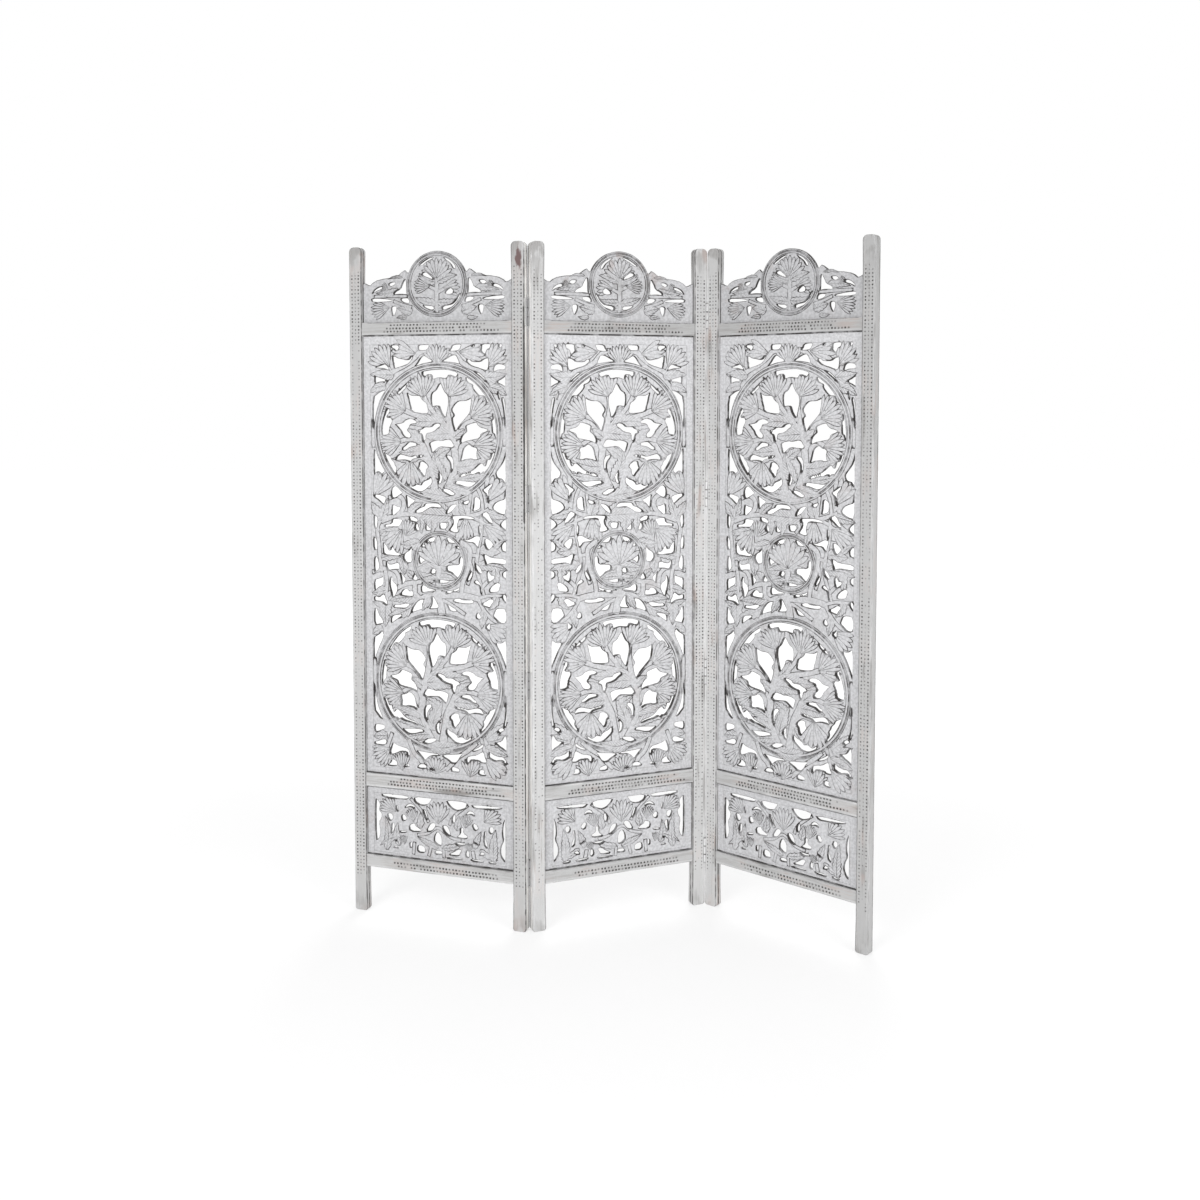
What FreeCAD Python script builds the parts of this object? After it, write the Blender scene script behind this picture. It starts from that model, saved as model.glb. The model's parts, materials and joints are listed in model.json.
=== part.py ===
import FreeCAD, Part
import os
from math import cos, hypot, pi, radians, sin, sqrt

# A three-panel folding screen of carved and pierced wood. Each panel is two posts, three rails,
# a pierced crest, a tall pierced plate and a low pierced plate. Four butt hinges join each pair.
# Lengths are in millimetres, angles in degrees. Each panel is drawn in its own frame:
# x runs along its width, y from its front face to its back face, z upwards.

V = FreeCAD.Vector

# Panel frame
panel_width = 508.0
post_width = 36.0
post_depth = 25.0
rail_depth = 22.0
leg_height = 126.0
bottom_rail_height = 34.0
lower_plate_height = 192.0
middle_rail_height = 37.0
main_plate_height = 1203.0
top_rail_height = 33.0
horn_height = 204.0
post_top_radius = 13.0
foot_bevel = 4.0
post_swell = 1.5
post_swell_height = 90.0

# Joints of the wooden frame
tenon_length = 20.0
tenon_depth = 8.0
tenon_shoulder = 8.0
joint_clearance = 0.1
groove_depth = 6.0
groove_end_gap = 0.5

# Pierced plates
plate_depth = 11.0
border_side = 21.0
main_border_top = 27.0
main_border_bottom = 18.0
lower_border_top = 21.0
lower_border_bottom = 12.0
crest_height = 187.5
ring_flat_depth = 1.1
ring_turn_share = 0.5
saw_slack = 5.0
smallest_opening_side = 23.0
pattern_unit = 200.0

# Hinges
hinge_height = 70.0
hinge_leaf_width = 18.0
hinge_leaf_thickness = 1.5
barrel_radius = 3.25
barrel_standoff = 0.75
barrel_clearance = 0.35
hinge_knuckles = 3
knuckle_gap = 0.3
pin_radius = 1.6
pin_clearance = 0.05
barrel_sides = 8
hinge_gap = 1.0
hinge_heights = (154.0, 660.0, 1157.0, 1646.0)

# Fold of each pair of panels from flat, as the screen stands
left_fold_angle = 39.3
right_fold_angle = 61.8
middle_angle = 21.7

# The pattern is drawn in shares of the pattern unit, and then stretched to fill its plate.
# The tall field is this many units wide and high, from its middle to its edge.
field_half_wide_share = 0.985
field_half_high_share = 2.895
lower_half_wide_share = 0.985
lower_half_high_share = 0.3975
crest_half_wide_share = 1.09
crest_high_share = 0.9375

# Medallions of the tall field: middle above the field's middle, outer and inner radius
upper_ring_share = (1.72, 0.945, 0.86)
lower_ring_share = (-1.665, 0.955, 0.875)
small_ring_share = (-0.01, 0.40, 0.33)
boss_ring_share = (0.50, 0.4375, 0.375)
lower_tree_share = 1.02
boss_lotus_share = 1.13

# Corners of a flower's crown: share of its half spread, share of its length
crown_shares = [(-1, .86), (-.45, 1), (.45, 1), (1, .86)]

# Flowering tree in a large medallion. A flower is a fan: its foot, direction, length and half spread.
tree_fan_shares = [
    (-.20, .45, 103, .35, 54), (.15, .46, 64, .35, 54), (-.45, .27, 155, .37, 54), (-.52, -.12, 180, .35, 50),
    (-.39, -.37, 262, .42, 56), (.47, .19, 32, .36, 56), (.50, -.16, -6, .35, 52)]
# A stem is its width at the start and the end, and the points that it follows.
tree_stem_shares = [
    (.14, .08, [(.065, -.84), (.25, -.42), (.20, .025), (.15, .50)]),
    (.14, .08, [(-.035, -.84), (-.22, -.20), (-.56, -.125)]),
    (.09, .08, [(-.095, -.50), (-.41, -.40)]), (.08, .08, [(.19, .025), (-.20, .49)]),
    (.09, .08, [(.115, .10), (-.49, .29)]), (.09, .08, [(.215, -.04), (.51, .22)]),
    (.08, .08, [(.25, -.25), (.54, -.16)])]
# A leaf is its foot, its tip and its half width.
tree_leaf_shares = [
    (.115, .10, -.45, .08, .09), (.20, -.01, -.21, -.06, .09), (-.20, -.18, -.575, -.275, .09),
    (.105, -.65, -.05, -.24, .085), (.25, -.46, .70, -.34, .09), (.19, -.625, .72, -.56, .08),
    (.14, -.86, -.30, -.80, .08)]

# Lotus in the small medallion
lotus_fan_shares = [(0, -.07, 90, .40, 62)]
lotus_stem_shares = [(.09, .09, [(0, -.05), (0, -.36)])]
lotus_leaf_shares = [(0, -.07, -.36, -.08, .08), (0, -.07, .36, -.06, .08)]
lotus = (lotus_fan_shares, lotus_stem_shares, lotus_leaf_shares)

# Flowers, stems and leaves between the medallions and the borders of the tall field
field_fan_shares = [
    (-.01, 2.60, 90, .37, 62), (-.34, 2.77, 172, .36, 38), (-.70, 2.60, 128, .36, 50),
    (.34, 2.795, -8, .36, 35), (.71, 2.59, 52, .36, 50), (-.97, .84, 58, .40, 36), (.70, .80, 60, .42, 38),
    (-.54, .42, 232, .40, 50), (.40, .62, 268, .36, 38), (.64, .53, -38, .42, 38),
    (.67, -.83, -32, .36, 42), (-.72, -2.60, 218, .38, 46), (-.56, -2.94, 92, .33, 40), (-.06, -2.94, 90, .28, 62),
    (.44, -2.94, 86, .33, 44), (.64, -2.60, -38, .44, 38)]
field_stem_shares = [
    (.08, .08, [(-.10, 2.80), (-.335, 2.74), (-.66, 2.53)]), (.08, .08, [(.105, 2.80), (.30, 2.74), (.66, 2.50)]),
    (.09, .12, [(-.77, 2.67), (-.67, 2.42)]), (.08, .08, [(.75, 2.67), (.68, 2.42)]),
    (.08, .08, [(-.96, 1.54), (-.96, 1.88)]), (.08, .08, [(.96, 1.56), (.96, 1.90)]),
    (.09, .08, [(-.90, .50), (-.52, .64), (-.52, .82), (-.74, .84)]),
    (.08, .08, [(-.90, .53), (-.21, .59), (.42, .58), (.74, .71)]),
    (.08, .08, [(.415, .60), (.475, .93)]), (.08, .08, [(-.86, .53), (-.90, .27), (-.85, -.20)]),
    (.08, .08, [(.63, .66), (.57, .0), (.66, -.47)]), (.10, .08, [(.30, .29), (.45, .10), (.33, -.46)]),
    (.08, .08, [(.565, -.49), (1.0, -.44)]), (.13, .12, [(0, -.38), (-.02, -.52), (.05, -.74)]),
    (.11, .09, [(0, -.465), (.39, -.465), (.62, -.505)]), (.08, .08, [(.57, -.50), (.72, -.74), (1.0, -.82)]),
    (.08, .08, [(-.48, -.80), (-.25, -.50), (0, -.465)]), (.09, .09, [(-.355, -.305), (-.355, -.60)]),
    (.08, .08, [(-.80, -.54), (-.485, -.34), (-.22, -.30)]), (.08, .08, [(-1.0, -.205), (-.67, -.14), (-.56, -.37)]),
    (.08, .08, [(-.80, -.155), (-.77, -.62)]), (.08, .08, [(-.965, -1.93), (-.965, -1.40)]),
    (.08, .08, [(.965, -1.93), (.965, -1.46)]), (.08, .08, [(-.70, -2.40), (-.785, -2.68)]),
    (.08, .08, [(-.47, -2.46), (-.22, -2.92)]), (.08, .08, [(.06, -2.82), (.52, -2.42)]),
    (.08, .08, [(.615, -2.36), (.68, -2.66)])]
field_leaf_shares = [
    (-.62, 2.46, -1.0, 2.40, .10), (.64, 2.42, 1.0, 2.38, .10), (-.835, .50, -1.0, .77, .08),
    (.24, .60, -.48, .64, .10), (.415, .59, .29, .86, .09), (-.10, .58, -.09, .36, .10),
    (.57, .16, 1.0, .14, .10), (.55, -.055, 1.0, -.11, .10), (.82, -.06, .85, -.33, .08),
    (.665, -.64, .62, -.92, .08), (-.22, -.53, -.76, -.58, .08), (-.765, -.43, -1.0, -.49, .08),
    (-.56, .06, -.51, -.22, .09), (-.27, .235, -.62, .24, .10), (-.80, -.56, -.78, -.98, .10),
    (-.38, -.645, -.78, -.80, .09), (-.66, -2.45, -1.0, -2.48, .08), (.62, -2.43, 1.0, -2.46, .10)]

# Openings of the low plate, from the middle of its field
lower_hole_shares = [
    [(-.87, .38), (-.84, .345), (-.47, .345), (-.46, .38)], [(-.375, .38), (-.32, .31), (-.17, .31), (-.13, .38)],
    [(.10, .38), (.20, .29), (.34, .30), (.40, .38)], [(.46, .38), (.52, .33), (.93, .355), (.93, .38)],
    [(-.965, .31), (-.90, .28), (-.87, .08), (-.91, -.24), (-.965, -.26)],
    [(.965, .25), (.92, .10), (.90, -.24), (.965, -.34)],
    [(-.79, .13), (-.70, .13), (-.74, .03)], [(-.57, .13), (-.49, .12), (-.55, .05)],
    [(-.53, .23), (-.44, .30), (-.36, .25), (-.44, .24)], [(-.25, .24), (-.20, .23), (-.175, .11), (-.215, .12)],
    [(-.20, -.06), (-.13, .06), (-.05, .05), (-.12, -.05)], [(-.46, 0), (-.34, .02), (-.26, -.07), (-.44, -.085)],
    [(-.72, 0), (-.67, 0), (-.72, -.155)], [(-.03, -.04), (.03, -.10), (.01, -.23), (-.08, -.20)],
    [(.04, .04), (.13, .05), (.17, -.07), (.09, -.06)], [(.22, .23), (.245, .20), (.21, .09), (.18, .13)],
    [(.38, .22), (.46, .29), (.53, .22), (.46, .25)], [(.48, .10), (.53, .13), (.58, .06), (.52, .02)],
    [(.31, .04), (.37, .03), (.40, -.10), (.24, -.10)], [(.66, .03), (.70, 0), (.70, -.19), (.65, -.13)],
    [(.22, -.165), (.36, -.16), (.36, -.19), (.27, -.21)], [(-.45, -.24), (-.41, -.23), (-.415, -.33), (-.45, -.33)],
    [(-.33, -.35), (-.32, -.27), (-.22, -.28), (-.215, -.35)], [(-.08, -.35), (-.05, -.31), (.04, -.31), (.04, -.35)],
    [(.12, -.34), (.24, -.27), (.33, -.26), (.28, -.34)], [(.38, -.33), (.41, -.25), (.44, -.34)],
    [(.58, -.31), (.62, -.25), (.68, -.27)], [(.10, -.375), (.34, -.365), (.33, -.39), (.12, -.39)],
    [(.46, -.365), (.84, -.365), (.82, -.39), (.47, -.39)]]

# Right half of the crest's outline above its foot, from the post to the middle medallion
crest_outline_shares = [
    (1.03, .515), (.985, .505), (.945, .54), (.785, .59), (.635, .605), (.50, .68), (.47, .695), (.40, .62), (0, .62)]
# Openings of the right half of the crest, from the middle of its foot
crest_hole_shares = [
    [(.965, .385), (.91, .46), (.80, .485), (.84, .44)], [(.72, .51), (.65, .54), (.605, .53), (.66, .485)],
    [(.475, .58), (.45, .56), (.455, .375), (.64, .375), (.51, .46)],
    [(.975, .33), (.65, .315), (.685, .28), (.955, .28)], [(.54, .32), (.44, .325), (.43, .275), (.51, .275)],
    [(.675, .215), (.595, .22), (.645, .075)]]

# Derived places along the panel's height
bottom_rail_z = leg_height
lower_plate_z = bottom_rail_z + bottom_rail_height
middle_rail_z = lower_plate_z + lower_plate_height
main_plate_z = middle_rail_z + middle_rail_height
top_rail_z = main_plate_z + main_plate_height
crest_z = top_rail_z + top_rail_height
post_height = crest_z + horn_height
clear_width = panel_width - 2 * post_width
middle_x = panel_width / 2
middle_y = post_depth / 2
barrel_x = panel_width + hinge_gap / 2
barrel_y = post_depth + barrel_standoff
rails = [
    ("bottom_rail", bottom_rail_z, bottom_rail_height),
    ("middle_rail", middle_rail_z, middle_rail_height),
    ("top_rail", top_rail_z, top_rail_height)]


def box(x0, y0, z0, x1, y1, z1):
    return Part.makeBox(x1 - x0, y1 - y0, z1 - z0, V(x0, y0, z0))


def barrel(radius, low, high, outside=False):
    """An upright rod at the hinge line. It has few sides, because eight hinges repeat it."""
    reach = radius / cos(pi / barrel_sides) if outside else radius
    turns = [2 * pi * i / barrel_sides for i in range(barrel_sides + 1)]
    rim = [V(barrel_x + reach * cos(turn), barrel_y + reach * sin(turn), low) for turn in turns]
    return Part.Face(Part.makePolygon(rim)).extrude(V(0, 0, high - low))


def flat_face(points):
    corners = [V(x, 0, z) for x, z in points]
    return Part.Face(Part.makePolygon(corners + corners[:1]))


def drawn_face(points):
    """A face of the drawing, from points in shares of the pattern unit."""
    return flat_face([(x * pattern_unit, z * pattern_unit) for x, z in points])


def drawn_disc(x, z, radius_share):
    """A round face of the drawing, with short straight sides that keep its facets few."""
    sides = round(pi * sqrt(radius_share * pattern_unit / 2 / ring_flat_depth))
    turns = [2 * pi * (i + ring_turn_share) / sides for i in range(sides)]
    return drawn_face([(x + radius_share * cos(turn), z + radius_share * sin(turn)) for turn in turns])


def stretched(face, x, z, unit_x, unit_z):
    """A face of the drawing in the panel's plane, with the drawing's middle at the point (x, z)."""
    rims = []
    for wire in face.Wires:
        drawn = [vertex.Point for vertex in wire.OrderedVertexes]
        rims.append(flat_face([(x + p.x / pattern_unit * unit_x, z + p.z / pattern_unit * unit_z) for p in drawn]))
    return rims[0].cut(rims[1:]) if len(rims) > 1 else rims[0]


def thicken(face, depth):
    """Extrude a face of the panel's plane to a plate set midway in the posts' depth."""
    plate = face.extrude(V(0, depth, 0))
    plate.translate(V(0, middle_y - depth / 2, 0))
    return plate


def fan_points(x, z, angle, length, spread):
    """Outline of a lotus seen from the side: it opens from its foot to a scalloped crown."""
    points = [(x, z)]
    for turn_share, reach_share in crown_shares:
        turn = radians(angle + turn_share * spread)
        points.append((x + reach_share * length * cos(turn), z + reach_share * length * sin(turn)))
    return points


def leaf_points(x0, z0, x1, z1, half_width):
    """Outline of a leaf from its foot to its tip."""
    side_shares = [(0, .3), (.42, 1)]
    run_x, run_z = x1 - x0, z1 - z0
    length = hypot(run_x, run_z)
    out_x, out_z = -run_z / length * half_width, run_x / length * half_width
    near = [(x0 + run_x * s + out_x * w, z0 + run_z * s + out_z * w) for s, w in side_shares]
    far = [(x0 + run_x * s - out_x * w, z0 + run_z * s - out_z * w) for s, w in side_shares]
    return near + [(x1, z1)] + far[::-1]


def stem_points(start_width, end_width, path):
    """Outline of a stem that follows a path and tapers."""
    last = len(path) - 1
    near, far = [], []
    for i, (x, z) in enumerate(path):
        before, after = path[max(0, i - 1)], path[min(last, i + 1)]
        run_x, run_z = after[0] - before[0], after[1] - before[1]
        half = (start_width + (end_width - start_width) * i / last) / 2 / hypot(run_x, run_z)
        near.append((x - run_z * half, z + run_x * half))
        far.append((x + run_z * half, z - run_x * half))
    return near + far[::-1]


def growth(fans, stems, leaves, x=0, z=0, size=1, side=1):
    """Drawn faces of a plant whose middle is at (x, z). Side -1 turns it over from left to right."""
    outlines = [stem_points(*stem) for stem in stems]
    outlines += [leaf_points(*leaf) for leaf in leaves]
    outlines += [fan_points(*fan) for fan in fans]
    return [drawn_face([(x + side * size * px, z + size * pz) for px, pz in outline]) for outline in outlines]


def saw_corners(points):
    """The corners a saw follows round an outline: the rest lie near the lines between them."""
    start = points[0]
    away = max(range(len(points)), key=lambda i: (points[i] - start).Length)

    def kept(first, last):
        run = points[last % len(points)] - points[first]
        best, far = 0, None
        for i in range(first + 1, last):
            offset = (points[i] - points[first]).cross(run).Length / run.Length
            if offset > best:
                best, far = offset, i
        if far is None or best < saw_slack:
            return [points[first]]
        return kept(first, far) + kept(far, last)

    return kept(0, away) + kept(away, len(points))


def sawn_openings(board, growing):
    """Openings left between growing pieces, without those too small for a saw blade."""
    openings = []
    for face in board.cut(growing).Faces:
        if face.Area < smallest_opening_side ** 2:
            continue
        rims = []
        for wire in face.Wires:
            corners = saw_corners([vertex.Point for vertex in wire.OrderedVertexes])
            rims.append(Part.makePolygon(corners + corners[:1]))
        outer = Part.Face(rims[0])
        openings.append(outer.cut([Part.Face(rim) for rim in rims[1:]]) if len(rims) > 1 else outer)
    return openings


def rectangle_face(x0, z0, x1, z1):
    return flat_face([(x0, z0), (x1, z0), (x1, z1), (x0, z1)])


def board_face(z0, z1):
    """A board that shows from z0 to z1, with its edges hidden in the grooves of the frame."""
    reach = groove_depth - groove_end_gap
    return rectangle_face(post_width - reach, z0 - reach, panel_width - post_width + reach, z1 + reach)


def medallion(x, z, outer_share, inner_share, plant, size=1, side=1):
    """Drawn disc of a medallion, and the openings inside it."""
    whole = drawn_disc(x, z, outer_share)
    hollow = drawn_disc(x, z, inner_share)
    square = drawn_face([(x - outer_share, z - outer_share), (x + outer_share, z - outer_share),
                         (x + outer_share, z + outer_share), (x - outer_share, z + outer_share)])
    openings = sawn_openings(square, growth(*plant, x, z, size, side))
    return whole, [opening.common(hollow) for opening in openings]


def large_faces(openings):
    return [face for opening in openings for face in opening.Faces if face.Area > smallest_opening_side ** 2]


def main_plate_face():
    """The tall plate: a border and growing plants round two large medallions and a small one."""
    tree = (tree_fan_shares, tree_stem_shares, tree_leaf_shares)
    rings, openings = [], []
    for ring, plant, size, side in (
            (upper_ring_share, tree, 1, 1), (lower_ring_share, tree, lower_tree_share, -1),
            (small_ring_share, lotus, 1, 1)):
        z, outer_share, inner_share = ring
        whole, inside = medallion(0, z, outer_share, inner_share, plant, size, side)
        rings.append(whole)
        openings += inside
    wide, high = field_half_wide_share, field_half_high_share
    field = drawn_face([(-wide, -high), (wide, -high), (wide, high), (-wide, high)])
    plants = growth(field_fan_shares, field_stem_shares, field_leaf_shares)
    openings += [opening.cut(rings) for opening in sawn_openings(field, plants)]
    bottom, top = main_plate_z + main_border_bottom, top_rail_z - main_border_top
    unit_x = (clear_width / 2 - border_side) / field_half_wide_share
    unit_z = (top - bottom) / 2 / field_half_high_share
    holes = [stretched(face, middle_x, (bottom + top) / 2, unit_x, unit_z) for face in large_faces(openings)]
    return board_face(main_plate_z, top_rail_z).cut(holes)


def lower_plate_face():
    """The low plate: one board with its openings sawn out."""
    bottom, top = lower_plate_z + lower_border_bottom, middle_rail_z - lower_border_top
    unit_x = (clear_width / 2 - border_side) / lower_half_wide_share
    unit_z = (top - bottom) / 2 / lower_half_high_share
    holes = [flat_face([(middle_x + x * unit_x, (bottom + top) / 2 + z * unit_z) for x, z in hole])
             for hole in lower_hole_shares]
    return board_face(lower_plate_z, middle_rail_z).cut(holes)


def crest_shoulder_z():
    """Height at which the crest meets the posts."""
    return crest_z + crest_outline_shares[0][1] * crest_height / crest_high_share


def crest_face():
    """The crest: scrolled shoulders on each side of a round medallion, with sawn openings."""
    unit_x = clear_width / 2 / crest_half_wide_share
    unit_z = crest_height / crest_high_share
    right = [(crest_half_wide_share, 0), (crest_half_wide_share, crest_outline_shares[0][1])] + crest_outline_shares
    left = [(-x, z) for x, z in reversed(right)]
    outline = flat_face([(middle_x + x * unit_x, crest_z + z * unit_z) for x, z in right + left[1:]])
    whole, inside = medallion(0, *boss_ring_share, lotus, boss_lotus_share)
    boss = stretched(whole, middle_x, crest_z, unit_x, unit_z)
    openings = [stretched(face, middle_x, crest_z, unit_x, unit_z) for face in large_faces(inside)]
    edges = board_face(crest_z, crest_shoulder_z() - groove_depth)
    holes = [flat_face([(middle_x + side * x * unit_x, crest_z + z * unit_z) for x, z in hole])
             for hole in crest_hole_shares for side in (1, -1)]
    return outline.multiFuse([boss, edges]).removeSplitter().cut(holes + openings)


def groove(z0, z1, depth_into_post):
    """Room in the frame for the edges of a plate that shows from z0 to z1."""
    half = plate_depth / 2 + joint_clearance
    return box(post_width - depth_into_post, middle_y - half, z0 - groove_depth,
               panel_width - post_width + depth_into_post, middle_y + half, z1 + groove_depth)


def post_groove():
    """One long groove on the inner side of a post, from the low plate to the crest's shoulder."""
    return groove(lower_plate_z, crest_shoulder_z() - groove_depth, groove_depth)


def rail_grooves():
    """A groove for the edge of each plate above or below a rail."""
    spans = ((lower_plate_z, middle_rail_z), (main_plate_z, top_rail_z), (crest_z, post_height))
    return [groove(z0, z1, tenon_length) for z0, z1 in spans]


def post_blank():
    """A left-hand post: round head, bevelled foot, and a slight swell on its inner side near each end."""
    wide, swell = post_width, post_width + post_swell
    radius, bevel = post_top_radius, foot_bevel
    high, rise = post_height, post_swell_height
    bend = radius * (1 - cos(pi / 4))
    sides = [
        V(0, 0, high - radius), V(0, 0, bevel), V(bevel, 0, 0), V(swell - bevel, 0, 0), V(swell, 0, bevel),
        V(wide, 0, rise), V(wide, 0, high - rise), V(swell, 0, high - radius)]
    edges = [Part.LineSegment(start, end) for start, end in zip(sides, sides[1:])]
    edges += [
        Part.Arc(V(swell, 0, high - radius), V(swell - bend, 0, high - bend), V(swell - radius, 0, high)),
        Part.LineSegment(V(swell - radius, 0, high), V(radius, 0, high)),
        Part.Arc(V(radius, 0, high), V(bend, 0, high - bend), V(0, 0, high - radius))]
    face = Part.Face(Part.Wire([edge.toShape() for edge in edges]))
    return face.extrude(V(0, post_depth, 0))


def mirror_panel(shape):
    """The same piece on the other side of the panel's middle line."""
    return shape.mirror(V(middle_x, 0, 0), V(1, 0, 0))


def rail_solid(z, height):
    """A rail with a tenon at each end and grooves for the plates above and below it."""
    front = middle_y - rail_depth / 2
    rail = box(post_width, front, z, panel_width - post_width, front + rail_depth, z + height).cut(rail_grooves())
    half = tenon_depth / 2
    tenon = box(post_width - tenon_length, middle_y - half, z + tenon_shoulder,
                panel_width - post_width + tenon_length, middle_y + half, z + height - tenon_shoulder)
    return rail.fuse(tenon).removeSplitter()


def tenon_mortises():
    """Room for the tenons in the left-hand post."""
    half = tenon_depth / 2
    slots = []
    for name, z, height in rails:
        slots.append(box(post_width - tenon_length, middle_y - half, z + tenon_shoulder, post_width + tenon_length,
                         middle_y + half, z + height - tenon_shoulder))
    return slots


def knuckle_spans():
    """Heights of the knuckles above the foot of a hinge, one from each leaf in turn."""
    pitch = (hinge_height + knuckle_gap) / hinge_knuckles
    return [(i * pitch, (i + 1) * pitch - knuckle_gap) for i in range(hinge_knuckles)]


def hinge_leaf(own_first):
    """A leaf let into a right-hand post's edge, with its knuckles round the pin at the post's back corner."""
    face = panel_width
    plate = box(face - hinge_leaf_thickness, post_depth - hinge_leaf_width, 0, face, post_depth, hinge_height)
    bore = barrel(pin_radius + pin_clearance, 0, hinge_height, outside=True)
    knuckles, rooms = [], []
    for i, (low, high) in enumerate(knuckle_spans()):
        if (i % 2 == 0) == own_first:
            knuckles.append(barrel(barrel_radius, low, high))
        else:
            rooms.append(barrel(barrel_radius + barrel_clearance, low - knuckle_gap, high + knuckle_gap, outside=True))
    return plate.cut(rooms).multiFuse(knuckles).cut(bore).removeSplitter()


def leaf_mortise():
    """Room in a right-hand post for a hinge leaf, and for the barrel at the post's back corner."""
    face = panel_width
    room = barrel(barrel_radius + barrel_clearance, 0, hinge_height, outside=True)
    return box(face - hinge_leaf_thickness, post_depth - hinge_leaf_width, 0, face + hinge_gap,
               post_depth + hinge_gap, hinge_height).fuse(room)


def hinge_pin():
    """A plain pin as long as the hinge."""
    return barrel(pin_radius, 0, hinge_height)


def at_height(shape, z):
    moved = shape.copy()
    moved.translate(V(0, 0, z - hinge_height / 2))
    return moved


def to_front(shape):
    """Turn a piece of the panel's back face to its front face, at the same end."""
    return shape.mirror(V(0, middle_y, 0), V(0, 1, 0))


def hinged_edge(shape, side, face):
    """Move hinge pieces drawn at the right-hand post's back to one side and face of a panel."""
    if side == "left":
        shape = mirror_panel(shape)
    if face == "front":
        shape = to_front(shape)
    return shape


# Which edges carry hinges, and whether the barrel stands behind or before the panel
hinge_sides = {
    "left": [("right", "back")],
    "middle": [("left", "back"), ("right", "front")],
    "right": [("left", "front")]}


def panel_pieces(panel, shared):
    """All the wooden pieces of one panel, in the panel's own frame."""
    main, lower, crest, blank = shared
    cuts = [post_groove()] + tenon_mortises()
    pieces = {}
    for side in ("left", "right"):
        post = blank if side == "left" else mirror_panel(blank)
        side_cuts = cuts if side == "left" else [mirror_panel(cut) for cut in cuts]
        for hinge_side, face in hinge_sides[panel]:
            if hinge_side == side:
                for z in hinge_heights:
                    side_cuts.append(hinged_edge(at_height(leaf_mortise(), z), side, face))
        pieces[side + "_post"] = post.cut(side_cuts)
    for name, z, height in rails:
        pieces[name] = rail_solid(z, height)
    flip = mirror_panel if panel == "middle" else (lambda shape: shape)
    pieces["main_jali"] = flip(main)
    pieces["lower_jali"] = flip(lower)
    pieces["crest"] = flip(crest)
    return {panel + "_" + name: shape for name, shape in pieces.items()}


def placed(shape, panel):
    """Stand a piece of one panel in its place on the floor."""
    angle, foot = panel_places[panel]
    stood = shape.copy()
    stood.rotate(V(0, 0, 0), V(0, 0, 1), angle)
    stood.translate(foot)
    return stood


def panel_point(panel, x, y):
    angle, foot = panel_places[panel]
    turn = radians(angle)
    return foot + V(x * cos(turn) - y * sin(turn), x * sin(turn) + y * cos(turn), 0)


def foot_for(angle, x, y, target):
    """Where a panel's frame starts, so that its point (x, y) lies on the target."""
    turn = radians(angle)
    return target - V(x * cos(turn) - y * sin(turn), x * sin(turn) + y * cos(turn), 0)


# Stand the middle panel first, then hang the others on its hinge lines
panel_places = {"middle": (middle_angle, V(0, 0, 0))}
left_axis = panel_point("middle", -hinge_gap / 2, barrel_y)
right_axis = panel_point("middle", barrel_x, post_depth - barrel_y)
left_turn = middle_angle - left_fold_angle
right_turn = middle_angle - right_fold_angle
panel_places["left"] = (left_turn, foot_for(left_turn, barrel_x, barrel_y, left_axis))
panel_places["right"] = (right_turn, foot_for(right_turn, -hinge_gap / 2, post_depth - barrel_y, right_axis))


def all_pieces():
    boards = [thicken(face, plate_depth) for face in (main_plate_face(), lower_plate_face(), crest_face())]
    shared = boards + [post_blank()]
    pieces = {}
    for panel in ("left", "middle", "right"):
        for name, shape in panel_pieces(panel, shared).items():
            pieces[name] = placed(shape, panel)
        for side, face in hinge_sides[panel]:
            fold = "left" if "left" in (panel, side) and panel != "right" else "right"
            holder = "fixed" if panel == "middle" else "swing"
            leaf = hinge_leaf(panel != "middle")
            leaves = [hinged_edge(at_height(leaf, z), side, face) for z in hinge_heights]
            pieces[fold + "_hinge_" + holder + "_leaves"] = placed(Part.makeCompound(leaves), panel)
            if panel == "middle":
                pins = [hinged_edge(at_height(hinge_pin(), z), side, face) for z in hinge_heights]
                pieces[fold + "_hinge_pins"] = placed(Part.makeCompound(pins), panel)
    return pieces


def main():
    pieces = all_pieces()
    bounds = FreeCAD.BoundBox()
    for shape in pieces.values():
        bounds.add(shape.optimalBoundingBox(False))
    shift = V(-bounds.Center.x, -bounds.Center.y, -bounds.ZMin)
    os.makedirs("parts", exist_ok=True)
    for name, shape in sorted(pieces.items()):
        shape.translate(shift)
        shape.exportStep("parts/" + name + ".step")
    for name, axis in (("left", left_axis + shift), ("right", right_axis + shift)):
        print("%s fold axis at x %.4f y %.4f" % (name, axis.x, axis.y))
    print("size %.2f x %.2f x %.2f" % (bounds.XLength, bounds.YLength, bounds.ZLength))


main()
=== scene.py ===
import math
import random

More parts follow.
